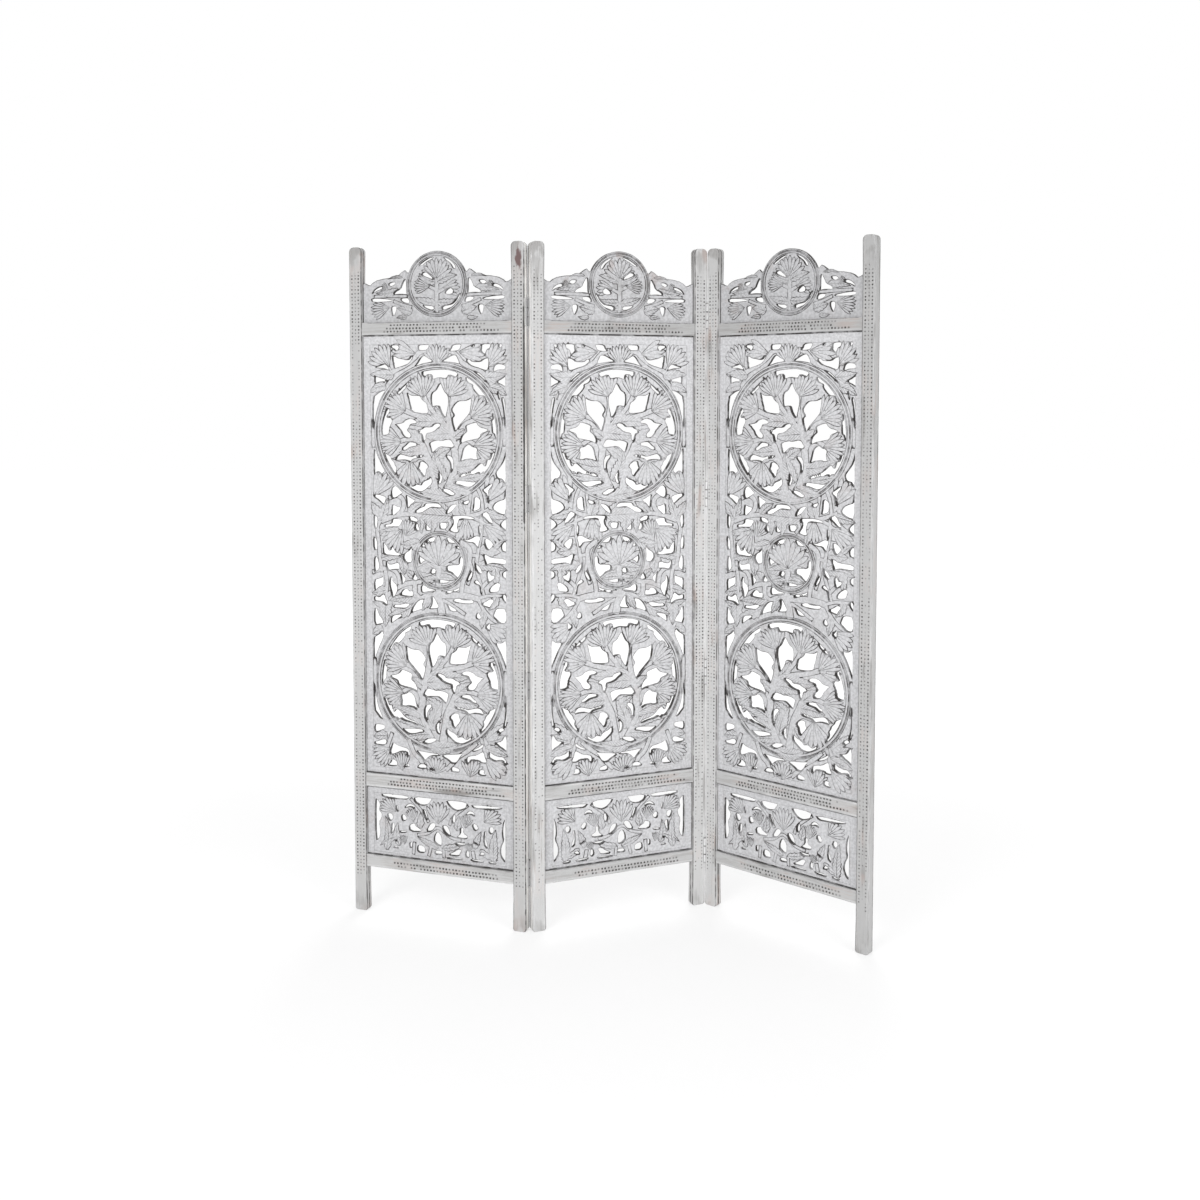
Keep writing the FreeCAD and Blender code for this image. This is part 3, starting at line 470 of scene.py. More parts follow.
# Openings, in shares of the unit: those of a medallion from its middle, those of the field from its own
FIELD_MIDDLE = (256.5, 986)
tree_hole_shares = [
    [(-.24, .81), (-.125, .83), (0, .84), (.125, .84), (.29, .80), (.29, .76), (.256, .74), (.16, .78), (.14, .73),
     (.10, .725), (.02, .74), (-.05, .72), (-.08, .71), (-.09, .78), (-.15, .78), (-.19, .745), (-.21, .76)],
    [(.025, .65), (0, .61), (-.03, .56), (-.09, .525), (-.10, .44), (-.085, .34), (-.04, .36), (.02, .36), (.03, .31),
     (.06, .245), (.11, .185), (.135, .29), (.16, .40), (.15, .50), (.10, .535), (.07, .60), (.05, .65)],
    [(-.456, .54), (-.40, .494), (-.35, .49), (-.26, .49), (-.24, .444), (-.20, .41), (-.16, .39), (-.15, .325),
     (-.14, .26), (-.20, .256), (-.275, .26), (-.36, .275), (-.394, .29), (-.40, .34), (-.42, .40), (-.435, .475)],
    [(.485, .47), (.45, .44), (.39, .42), (.306, .42), (.27, .40), (.23, .36), (.194, .30), (.244, .23), (.206, .19),
     (.21, .14), (.23, .075), (.25, .01), (.275, .04), (.306, .094), (.36, .15), (.425, .22), (.465, .275),
     (.475, .34), (.485, .40)],
    [(-.31, .75), (-.40, .70), (-.49, .63), (-.575, .556), (-.644, .494), (-.656, .46), (-.62, .525), (-.57, .51),
     (-.525, .55), (-.47, .596), (-.465, .65), (-.43, .69), (-.375, .706)],
    [(-.75, .33), (-.78, .26), (-.806, .194), (-.83, .10), (-.84, .025), (-.83, -.044), (-.80, -.04), (-.725, -.03),
     (-.72, .04), (-.706, .094), (-.68, .135), (-.68, .19), (-.775, .19), (-.73, .25), (-.71, .29)],
    [(-.64, .10), (-.525, .12), (-.49, .16), (-.40, .185), (-.31, .146), (-.32, .12), (-.40, .115), (-.42, .08),
     (-.45, .04), (-.444, .01), (-.40, -.02), (-.396, -.075), (-.475, -.075), (-.525, -.03), (-.544, .02),
     (-.575, .05), (-.606, .09)],
    [(.04, .12), (.04, .085), (0, .065), (-.04, .025), (-.10, 0), (-.165, -.01), (-.175, -.03), (-.18, -.09),
     (-.215, -.144), (-.23, -.08), (-.244, -.02), (-.28, -.01), (-.30, .03), (-.244, .035), (-.20, .07), (-.10, .065),
     (-.08, .10), (-.02, .12)],
    [(-.12, -.14), (-.075, -.12), (0, -.106), (.05, -.115), (.10, -.10), (.16, -.094), (.20, -.11), (.23, -.17),
     (.24, -.194), (.20, -.20), (.10, -.19), (.025, -.185), (-.025, -.22), (-.07, -.26), (-.094, -.27), (-.11, -.21),
     (-.125, -.16)],
    [(.40, .09), (.475, .12), (.556, .14), (.575, .104), (.615, .07), (.68, .056), (.725, .04), (.69, .015),
     (.62, -.006), (.60, -.07), (.50, -.09), (.40, -.11), (.32, -.15), (.33, -.08), (.36, -.03), (.415, .01),
     (.41, .044)],
    [(.375, -.20), (.425, -.16), (.46, -.16), (.494, -.19), (.56, -.20), (.575, -.225), (.556, -.26), (.56, -.32),
     (.575, -.35), (.506, -.356), (.48, -.34), (.41, -.35), (.375, -.356), (.33, -.39), (.32, -.38), (.34, -.325),
     (.356, -.25)],
    [(-.49, -.19), (-.44, -.14), (-.40, -.135), (-.34, -.144), (-.29, -.16), (-.31, -.18), (-.375, -.19),
     (-.42, -.20), (-.46, -.23), (-.494, -.244), (-.53, -.24), (-.525, -.21)],
    [(-.63, -.39), (-.62, -.34), (-.575, -.30), (-.525, -.306), (-.47, -.32), (-.40, -.34), (-.36, -.32),
     (-.275, -.31), (-.23, -.306), (-.225, -.33), (-.34, -.35), (-.375, -.36), (-.41, -.40), (-.45, -.38),
     (-.50, -.37), (-.59, -.375)],
    [(-.806, -.27), (-.775, -.30), (-.71, -.33), (-.694, -.375), (-.656, -.406), (-.64, -.456), (-.615, -.48),
     (-.63, -.53), (-.60, -.58), (-.56, -.63), (-.59, -.62), (-.66, -.55), (-.725, -.45), (-.775, -.36)],
    [(-.275, -.40), (-.22, -.394), (-.175, -.425), (-.14, -.45), (-.15, -.475), (-.175, -.494), (-.18, -.54),
     (-.20, -.594), (-.23, -.59), (-.25, -.544), (-.294, -.51), (-.30, -.49), (-.28, -.45)],
    [(-.475, -.69), (-.425, -.71), (-.39, -.74), (-.35, -.725), (-.33, -.706), (-.29, -.71), (-.256, -.72),
     (-.244, -.69), (-.21, -.66), (-.15, -.64), (-.10, -.59), (-.09, -.64), (-.094, -.69), (-.125, -.71),
     (-.17, -.75), (-.225, -.79), (-.30, -.80), (-.375, -.77), (-.44, -.73)],
    [(.015, -.505), (.025, -.54), (.056, -.575), (.06, -.625), (.04, -.675), (.006, -.694), (-.006, -.675),
     (.0125, -.625), (.006, -.56)],
    [(.11, -.30), (.156, -.306), (.20, -.325), (.22, -.36), (.225, -.45), (.206, -.54), (.19, -.55), (.185, -.475),
     (.18, -.41), (.16, -.375), (.13, -.344)],
    [(.82, -.256), (.80, -.33), (.76, -.41), (.70, -.49), (.67, -.52), (.64, -.51), (.606, -.556), (.59, -.51),
     (.51, -.55), (.456, -.55), (.34, -.59), (.30, -.585), (.35, -.55), (.45, -.525), (.50, -.50), (.55, -.456),
     (.606, -.406), (.644, -.406), (.67, -.45), (.69, -.425), (.70, -.356), (.74, -.36), (.76, -.33), (.77, -.275)],
    [(.225, -.656), (.30, -.644), (.41, -.65), (.50, -.66), (.54, -.656), (.54, -.67), (.49, -.705), (.45, -.72),
     (.39, -.72), (.30, -.69), (.23, -.68)],
    [(.056, -.76), (.125, -.756), (.18, -.77), (.20, -.79), (.24, -.81), (.25, -.82), (.23, -.83), (.175, -.84),
     (.15, -.83), (.10, -.806), (.056, -.78)],
    [(.41, .74), (.49, .69), (.575, .624), (.65, .536), (.715, .446), (.74, .40), (.71, .40), (.68, .47), (.65, .50),
     (.606, .49), (.556, .53), (.50, .60), (.506, .64), (.44, .665), (.41, .70)],
    [(.80, .26), (.82, .19), (.835, .10), (.845, 0), (.84, -.10), (.825, -.05), (.81, -.006), (.785, 0), (.78, .10),
     (.77, .16), (.80, .185), (.785, .256)]]
lotus_hole_shares = [
    [(-.19, .22), (-.175, .26), (-.135, .29), (-.05, .315), (-.06, .27), (-.09, .245), (-.135, .245), (-.17, .215)],
    [(-.26, .19), (-.24, .215), (-.20, .19), (-.215, .175), (-.25, .165)],
    [(.11, .31), (.17, .305), (.22, .27), (.25, .24), (.20, .24), (.15, .24), (.125, .265)],
    [(.255, .205), (.295, .19), (.31, .16), (.28, .165), (.24, .18)],
    [(-.285, .05), (-.255, .025), (-.195, -.01), (-.24, -.025), (-.27, -.065), (-.29, -.03), (-.295, .01)],
    [(-.125, -.13), (-.05, -.11), (-.04, -.15), (-.06, -.18), (-.12, -.19)],
    [(-.095, -.275), (0, -.26), (.095, -.27), (.16, -.28), (.115, -.30), (.03, -.31), (-.045, -.295)],
    [(.11, -.075), (.20, -.06), (.295, -.055), (.30, .025), (.32, .06), (.35, .05), (.36, -.04), (.35, -.12),
     (.325, -.19), (.295, -.24), (.27, -.23), (.22, -.19), (.17, -.15), (.11, -.14)]]
field_hole_shares = [
    [(-.97, .86), (-.90, .865), (-.835, .85), (-.78, .83), (-.795, .78), (-.81, .73), (-.85, .755), (-.90, .80),
     (-.955, .83)],
    [(-.70, .825), (-.70, .92), (-.685, .965), (-.645, .99), (-.605, .97), (-.565, .93), (-.53, .90), (-.565, .88),
     (-.605, .85), (-.645, .83)],
    [(-.48, .87), (-.445, .85), (-.405, .825), (-.34, .795), (-.375, .77), (-.41, .745), (-.435, .71), (-.46, .69),
     (-.465, .745), (-.47, .80)],
    [(-.68, .735), (-.645, .72), (-.605, .705), (-.57, .705), (-.57, .67), (-.61, .635), (-.66, .59), (-.695, .59),
     (-.695, .65), (-.69, .70)],
    [(-.195, .76), (-.11, .765), (-.015, .765), (.025, .75), (.05, .715), (.01, .71), (-.055, .715), (-.11, .72),
     (-.15, .70), (-.19, .675), (-.24, .64), (-.32, .63), (-.375, .633), (-.32, .67), (-.27, .70), (-.215, .715)],
    [(.11, .625), (.12, .67), (.15, .715), (.195, .75), (.28, .765), (.24, .72), (.20, .675), (.15, .64)],
    [(.35, .785), (.40, .81), (.46, .82), (.445, .79), (.405, .765), (.355, .765)],
    [(.52, .855), (.55, .87), (.585, .85), (.61, .83), (.605, .77), (.60, .715), (.55, .69), (.495, .675),
     (.51, .73), (.515, .80)],
    [(.635, .96), (.685, .99), (.74, 1.035), (.795, 1.05), (.76, 1.005), (.73, .97), (.725, .92), (.735, .85),
     (.735, .785), (.72, .80), (.71, .875), (.685, .92)],
    [(.775, .72), (.81, .785), (.875, .82), (.95, .84), (.96, .90), (.965, .97), (.972, .97), (.972, .645),
     (.90, .65), (.835, .675)],
    [(.61, .63), (.65, .655), (.70, .675), (.735, .64), (.755, .595), (.795, .525), (.745, .52), (.705, .555),
     (.66, .60)],
    [(.89, .50), (.91, .54), (.955, .575), (.972, .58), (.972, .435), (.96, .44), (.91, .475)],
    [(-.965, .59), (-.94, .58), (-.91, .55), (-.913, .475), (-.92, .405), (-.965, .405)],
    [(-.80, .455), (-.70, .465), (-.685, .54), (-.62, .54), (-.53, .53), (-.56, .485), (-.585, .44), (-.66, .435),
     (-.765, .43), (-.805, .42)],
    [(-.435, .58), (-.375, .58), (-.335, .555), (-.295, .53), (-.315, .505), (-.375, .515), (-.43, .53)],
    [(-.355, .42), (-.345, .475), (-.31, .495), (-.295, .445), (-.275, .40), (-.31, .385), (-.335, .40)],
    [(-.19, .48), (-.16, .465), (-.13, .43), (-.10, .405), (-.155, .40), (-.19, .40)],
    [(.01, .50), (.065, .505), (.12, .51), (.115, .44), (.075, .425), (.025, .425), (.015, .46)],
    [(.17, .59), (.24, .60), (.35, .61), (.445, .605), (.52, .585), (.51, .565), (.415, .57), (.31, .58), (.285, .53),
     (.265, .475), (.285, .42), (.295, .385), (.215, .385), (.15, .41), (.19, .455), (.215, .50), (.21, .555)],
    [(.36, .305), (.41, .28), (.47, .305), (.53, .34), (.57, .345), (.61, .33), (.60, .29), (.585, .26), (.58, .185),
     (.55, .205), (.505, .26), (.43, .26), (.37, .275)],
    [(.665, .305), (.70, .315), (.745, .29), (.80, .245), (.785, .215), (.745, .19), (.735, .16), (.685, .19),
     (.67, .245)],
    [(.905, .24), (.94, .27), (.97, .305), (.972, .14), (.96, .15), (.91, .165)],
    [(.58, .475), (.60, .49), (.615, .445), (.615, .38), (.595, .35), (.58, .405)],
    [(-.975, .29), (-.945, .27), (-.92, .225), (-.918, .165), (-.92, .11), (-.97, .105)],
    [(-.83, .225), (-.80, .19), (-.77, .15), (-.745, .105), (-.72, .105), (-.70, .17), (-.665, .13), (-.635, .08),
     (-.565, .065), (-.55, .045), (-.645, .035), (-.755, .045), (-.81, .045), (-.83, .085)],
    [(-.39, .18), (-.415, .15), (-.45, .105), (-.49, .085), (-.52, .055), (-.53, .02), (-.515, -.02), (-.485, -.055),
     (-.435, -.05), (-.40, -.03), (-.405, .04), (-.40, .12)],
    [(-.965, .01), (-.925, .01), (-.905, -.04), (-.89, -.10), (-.895, -.155), (-.935, -.185), (-.965, -.21)],
    [(-.785, -.04), (-.765, -.055), (-.745, -.09), (-.685, -.085), (-.645, -.065), (-.585, -.06), (-.59, -.15),
     (-.645, -.145), (-.715, -.155), (-.76, -.17), (-.785, -.12)],
    [(-.40, -.28), (-.375, -.22), (-.355, -.20), (-.335, -.22), (-.31, -.28), (-.355, -.29)],
    [(-.97, -.31), (-.915, -.295), (-.86, -.275), (-.835, -.25), (-.83, -.30), (-.83, -.345), (-.855, -.38),
     (-.90, -.40), (-.935, -.43), (-.96, -.47)],
    [(-.73, -.29), (-.71, -.25), (-.69, -.265), (-.695, -.32), (-.645, -.35), (-.62, -.385), (-.615, -.43),
     (-.64, -.48), (-.665, -.515), (-.695, -.54), (-.705, -.485), (-.725, -.42), (-.735, -.35)],
    [(-.58, -.185), (-.55, -.21), (-.52, -.245), (-.49, -.275), (-.52, -.32), (-.55, -.36), (-.555, -.295),
     (-.565, -.235)],
    [(-.26, -.365), (-.235, -.345), (-.20, -.36), (-.155, -.39), (-.08, -.40), (-.03, -.415), (-.11, -.42),
     (-.19, -.435), (-.255, -.45), (-.265, -.405)],
    [(.105, -.415), (.175, -.405), (.24, -.39), (.29, -.36), (.30, -.38), (.25, -.41), (.175, -.43), (.115, -.45),
     (.095, -.46)],
    [(-.585, -.495), (-.55, -.45), (-.525, -.42), (-.48, -.41), (-.46, -.42), (-.435, -.445), (-.395, -.435),
     (-.38, -.47), (-.375, -.505), (-.46, -.51), (-.525, -.505)],
    [(-.97, -.54), (-.935, -.535), (-.90, -.55), (-.87, -.525), (-.84, -.50), (-.81, -.50), (-.80, -.555),
     (-.765, -.605), (-.775, -.655), (-.815, -.635), (-.855, -.605), (-.915, -.595), (-.97, -.595)],
    [(-.69, -.675), (-.66, -.635), (-.605, -.64), (-.53, -.62), (-.48, -.61), (-.435, -.615), (-.465, -.65),
     (-.505, -.675), (-.59, -.675)],
    [(-.415, -.735), (-.405, -.69), (-.375, -.635), (-.335, -.585), (-.29, -.555), (-.235, -.54), (-.225, -.565),
     (-.255, -.605), (-.245, -.67), (-.31, -.69), (-.365, -.71)],
    [(-.115, -.495), (-.08, -.495), (-.055, -.54), (-.02, -.595), (-.005, -.645), (-.08, -.66), (-.15, -.665),
     (-.12, -.635), (-.105, -.58), (-.11, -.535)],
    [(.105, -.575), (.15, -.605), (.21, -.635), (.275, -.675), (.215, -.685), (.155, -.675), (.13, -.625)],
    [(.20, -.535), (.24, -.515), (.295, -.50), (.335, -.525), (.415, -.525), (.50, -.515), (.50, -.555),
     (.415, -.57), (.31, -.565), (.23, -.555)],
    [(.535, 0), (.55, -.035), (.57, -.05), (.60, -.07), (.62, -.115), (.63, -.15), (.595, -.16), (.56, -.13),
     (.53, -.08)],
    [(.65, .11), (.70, .095), (.76, .06), (.97, .055), (.97, -.02), (.835, -.01), (.76, -.005), (.715, -.02),
     (.69, -.04), (.675, .01), (.655, .06)],
    [(.405, -.265), (.43, -.205), (.46, -.15), (.48, -.13), (.495, -.155), (.485, -.195), (.46, -.235), (.425, -.27)],
    [(.51, -.275), (.54, -.245), (.565, -.255), (.60, -.28), (.62, -.34), (.635, -.39), (.625, -.445), (.61, -.42),
     (.60, -.35), (.585, -.31), (.545, -.30)],
    [(.695, -.145), (.715, -.115), (.74, -.15), (.76, -.18), (.805, -.17), (.81, -.205), (.765, -.235), (.715, -.27),
     (.70, -.21)],
    [(.92, -.135), (.96, -.11), (.972, -.11), (.972, -.22), (.955, -.205), (.92, -.185)],
    [(.73, -.375), (.755, -.33), (.815, -.285), (.86, -.265), (.89, -.285), (.88, -.34), (.855, -.385), (.795, -.395),
     (.74, -.40)],
    [(.91, -.44), (.965, -.41), (.972, -.41), (.972, -.53), (.965, -.53), (.93, -.495)],
    [(.62, -.555), (.675, -.535), (.72, -.50), (.76, -.49), (.80, -.50), (.785, -.535), (.76, -.56), (.74, -.605),
     (.685, -.595), (.625, -.575)],
    [(.78, -.72), (.80, -.675), (.82, -.625), (.89, -.605), (.97, -.62), (.972, -.80), (.875, -.81), (.83, -.76)],
    [(.54, -.715), (.565, -.68), (.60, -.71), (.615, -.76), (.57, -.77), (.54, -.755)],
    [(.67, -.88), (.705, -.84), (.735, -.805), (.745, -.87), (.73, -.92), (.70, -.90)],
    [(-.97, -.705), (-.94, -.695), (-.92, -.74), (-.895, -.805), (-.86, -.83), (-.84, -.87), (-.825, -.895),
     (-.90, -.91), (-.97, -.93)],
    [(-.72, -.895), (-.715, -.81), (-.675, -.785), (-.605, -.77), (-.535, -.76), (-.58, -.795), (-.63, -.83),
     (-.68, -.865)],
    [(-.93, 2.595), (-.85, 2.615), (-.78, 2.645), (-.745, 2.615), (-.715, 2.565), (-.70, 2.545), (-.745, 2.565),
     (-.81, 2.585), (-.875, 2.59)],
    [(-.935, 2.49), (-.915, 2.47), (-.85, 2.45), (-.76, 2.425), (-.72, 2.42), (-.73, 2.405), (-.835, 2.405),
     (-.89, 2.395), (-.93, 2.37)],
    [(-.965, 2.19), (-.89, 2.245), (-.83, 2.275), (-.775, 2.28), (-.81, 2.235), (-.855, 2.165), (-.885, 2.09),
     (-.915, 1.995), (-.935, 1.90), (-.95, 1.78), (-.968, 1.78)],
    [(.86, 2.28), (.885, 2.25), (.895, 2.20), (.89, 2.15), (.87, 2.20)],
    [(.915, 2.18), (.945, 2.19), (.965, 2.10), (.972, 2.0), (.972, 1.80), (.96, 1.80), (.955, 1.95), (.94, 2.07)],
    [(-.69, 2.885), (-.645, 2.89), (-.565, 2.89), (-.56, 2.82), (-.635, 2.815), (-.63, 2.84), (-.68, 2.86)],
    [(-.66, 2.68), (-.665, 2.75), (-.605, 2.73), (-.58, 2.71), (-.51, 2.70), (-.46, 2.685), (-.41, 2.70),
     (-.395, 2.74), (-.355, 2.74), (-.37, 2.71), (-.425, 2.645), (-.485, 2.62), (-.58, 2.595), (-.64, 2.58),
     (-.65, 2.625)],
    [(-.34, 2.60), (-.295, 2.645), (-.255, 2.71), (-.21, 2.75), (-.17, 2.73), (-.11, 2.695), (-.06, 2.67),
     (-.12, 2.66), (-.215, 2.645), (-.285, 2.62)],
    [(-.285, 2.885), (-.215, 2.89), (-.12, 2.89), (-.135, 2.85), (-.16, 2.82), (-.23, 2.82), (-.28, 2.82)],
    [(.15, 2.81), (.195, 2.83), (.21, 2.875), (.255, 2.89), (.345, 2.89), (.33, 2.85), (.31, 2.815), (.23, 2.805)],
    [(.055, 2.67), (.11, 2.695), (.17, 2.73), (.22, 2.75), (.275, 2.745), (.30, 2.69), (.325, 2.63), (.255, 2.65),
     (.15, 2.665)],
    [(.415, 2.68), (.445, 2.695), (.48, 2.68), (.50, 2.655), (.62, 2.655), (.655, 2.69), (.735, 2.71), (.74, 2.64),
     (.725, 2.545), (.66, 2.555), (.58, 2.585), (.50, 2.605), (.445, 2.64)],
    [(.50, 2.885), (.54, 2.885), (.53, 2.85), (.50, 2.85)],
    [(.635, 2.89), (.775, 2.89), (.76, 2.84), (.715, 2.825), (.70, 2.79), (.68, 2.76), (.65, 2.78), (.62, 2.805),
     (.635, 2.85)],
    [(.87, 2.885), (.935, 2.885), (.91, 2.835), (.88, 2.855)],
    [(.94, 2.75), (.972, 2.78), (.972, 2.735), (.955, 2.725)],
    [(.795, 2.535), (.81, 2.595), (.84, 2.625), (.90, 2.625), (.97, 2.61), (.972, 2.555), (.875, 2.555),
     (.82, 2.535)],
    [(.835, 2.395), (.89, 2.415), (.96, 2.46), (.972, 2.48), (.972, 2.33), (.965, 2.33), (.91, 2.365)],
    [(-.956, 1.48), (-.94, 1.48), (-.905, 1.395), (-.872, 1.33), (-.84, 1.26), (-.80, 1.20), (-.81, 1.17),
     (-.845, 1.14), (-.87, 1.17), (-.91, 1.185), (-.94, 1.16), (-.956, 1.12)],
    [(.972, 1.50), (.967, 1.43), (.94, 1.35), (.905, 1.295), (.86, 1.24), (.83, 1.195), (.84, 1.15), (.865, 1.12),
     (.915, 1.12), (.945, 1.07), (.972, 1.04)],
    [(-.985, -1.11), (-.95, -1.085), (-.90, -1.055), (-.865, -1.0), (-.84, -1.015), (-.835, -1.07), (-.86, -1.14),
     (-.895, -1.205), (-.93, -1.285), (-.955, -1.35), (-.972, -1.43), (-.985, -1.43)],
    [(.805, -1.075), (.905, -1.08), (.935, -1.05), (.972, -1.04), (.972, -1.43), (.95, -1.36), (.917, -1.285),
     (.883, -1.205), (.84, -1.13)],
    [(.50, 2.545), (.58, 2.525), (.65, 2.47), (.715, 2.40), (.73, 2.37), (.69, 2.405), (.62, 2.465), (.55, 2.515)],
    [(-.985, -1.75), (-.965, -1.75), (-.96, -1.90), (-.93, -2.05), (-.89, -2.14), (-.85, -2.235), (-.895, -2.215),
     (-.94, -2.16), (-.985, -2.11)],
    [(-.98, -2.325), (-.95, -2.305), (-.83, -2.31), (-.83, -2.365), (-.89, -2.385), (-.97, -2.42), (-.985, -2.385)],
    [(-.985, -2.555), (-.93, -2.545), (-.87, -2.515), (-.80, -2.505), (-.805, -2.56), (-.85, -2.595), (-.93, -2.595),
     (-.985, -2.585)],
    [(-.755, -2.705), (-.745, -2.645), (-.72, -2.585), (-.705, -2.54), (-.645, -2.575), (-.565, -2.595),
     (-.50, -2.605), (-.46, -2.64), (-.45, -2.70), (-.475, -2.73), (-.495, -2.70), (-.50, -2.655), (-.605, -2.655),
     (-.66, -2.685), (-.715, -2.71)],
    [(-.355, -2.625), (-.285, -2.63), (-.175, -2.64), (-.08, -2.645), (.01, -2.645), (-.02, -2.67), (-.11, -2.67),
     (-.17, -2.69), (-.21, -2.73), (-.24, -2.755), (-.27, -2.715), (-.31, -2.665)],
    [(.03, -2.665), (.095, -2.645), (.19, -2.635), (.29, -2.62), (.335, -2.61), (.295, -2.65), (.265, -2.705),
     (.22, -2.75), (.17, -2.755), (.12, -2.715), (.055, -2.685)],
    [(.385, -2.735), (.385, -2.685), (.405, -2.65), (.46, -2.63), (.54, -2.615), (.60, -2.575), (.64, -2.555),
     (.655, -2.625), (.685, -2.685), (.675, -2.71), (.60, -2.71), (.57, -2.685), (.445, -2.68), (.43, -2.71),
     (.415, -2.74)],
    [(.715, -2.62), (.715, -2.545), (.755, -2.57), (.81, -2.595), (.875, -2.61), (.90, -2.595), (.965, -2.65),
     (.965, -2.715), (.94, -2.705), (.915, -2.655), (.86, -2.655), (.81, -2.675), (.74, -2.65)],
    [(.835, -2.29), (.85, -2.245), (.885, -2.215), (.91, -2.215), (.95, -2.225), (.90, -2.265)],
    [(.96, -1.75), (.972, -1.75), (.972, -2.20), (.925, -2.20), (.945, -2.13), (.955, -2.05), (.962, -1.94)],
    [(.795, -2.42), (.85, -2.41), (.895, -2.40), (.92, -2.35), (.95, -2.315), (.97, -2.31), (.97, -2.53),
     (.955, -2.525), (.91, -2.49), (.86, -2.465), (.835, -2.44)],
    [(.47, -2.565), (.51, -2.535), (.57, -2.505), (.63, -2.455), (.65, -2.46), (.61, -2.51), (.56, -2.54),
     (.51, -2.56)],
    [(-.795, -2.865), (-.745, -2.835), (-.73, -2.78), (-.68, -2.78), (-.64, -2.805), (-.645, -2.86), (-.725, -2.87)],
    [(-.55, -2.865), (-.52, -2.84), (-.47, -2.82), (-.455, -2.86)],
    [(-.345, -2.865), (-.325, -2.83), (-.27, -2.80), (-.205, -2.81), (-.195, -2.865)],
    [(.17, -2.87), (.16, -2.835), (.185, -2.80), (.235, -2.81), (.285, -2.83), (.28, -2.87)],
    [(.565, -2.88), (.565, -2.82), (.60, -2.805), (.65, -2.81), (.635, -2.85), (.685, -2.88)],
    [(-.15, -2.85), (-.075, -2.85), (-.08, -2.87), (-.145, -2.87)],
    [(.94, -2.805), (.965, -2.79), (.965, -2.835)]]


def plant(carving, flowers, stems, leaves, x, z, rng, size=1, side=1):
    """A plant whose middle is at (x, z). Side -1 turns it over from left to right."""
    def at(px, pz):
        return x + side * size * px * UNIT, z + size * pz * UNIT

    for width0, width1, path in stems:
        stem(carving, width0 * UNIT, width1 * UNIT, [at(px, pz) for px, pz in path], rng.uniform(0, .3))
    for x0, z0, x1, z1, half in leaves:
        leaf(carving, *at(x0, z0), *at(x1, z1), half * UNIT, rng, rng.uniform(0, .4))
    for fx, fz, angle, length, spread in flowers:
        flower(carving, *at(fx, fz), angle if side > 0 else 180 - angle, length * UNIT, spread, rng)


def saw(shares, x, z, size=1, side=1):
    """Openings given in shares, in millimetres, with their corners rounded like a saw's cut."""
    return [rounded([(x + side * size * px * UNIT, z + size * pz * UNIT) for px, pz in loop]) for loop in shares]


def main_board():
    """The tall board: two trees in medallions, a lotus in a small ring, and the field round them."""
    carving, relief = Carving(), Carving()
    rng = random.Random(7)
    x, z = FIELD_MIDDLE
    # Height of each large medallion, its ring's outer, inner and groove radius, its tree's size and side
    rings = ((1330, 189, 172, 181, 1, 1), (653, 191, 176, 186, 1.02, -1))
    holes = saw(field_hole_shares, x, z) + saw(lotus_hole_shares, x, z)
    for ring_z, outer, inner, groove, size, side in rings:
        holes += saw(tree_hole_shares, x, ring_z, size, side)
    plate(carving, board_box("main_jali"), holes)
    tree = (tree_flower_shares, tree_stem_shares, tree_leaf_shares)
    for ring_z, outer, inner, groove, size, side in rings:
        ring(carving, x, ring_z, outer, inner, groove)
        plant(relief, *tree, x, ring_z, rng, size, side)
    ring(carving, x + 4, 985, 80, 67.5, 74)
    plant(relief, lotus_flower_shares, lotus_stem_shares, lotus_leaf_shares, x, 984, rng)
    plant(relief, field_flower_shares, field_stem_shares, field_leaf_shares, x, z, rng)
    carving.lay(relief, holes)
    frame_border(carving, "main_jali")
    return carving


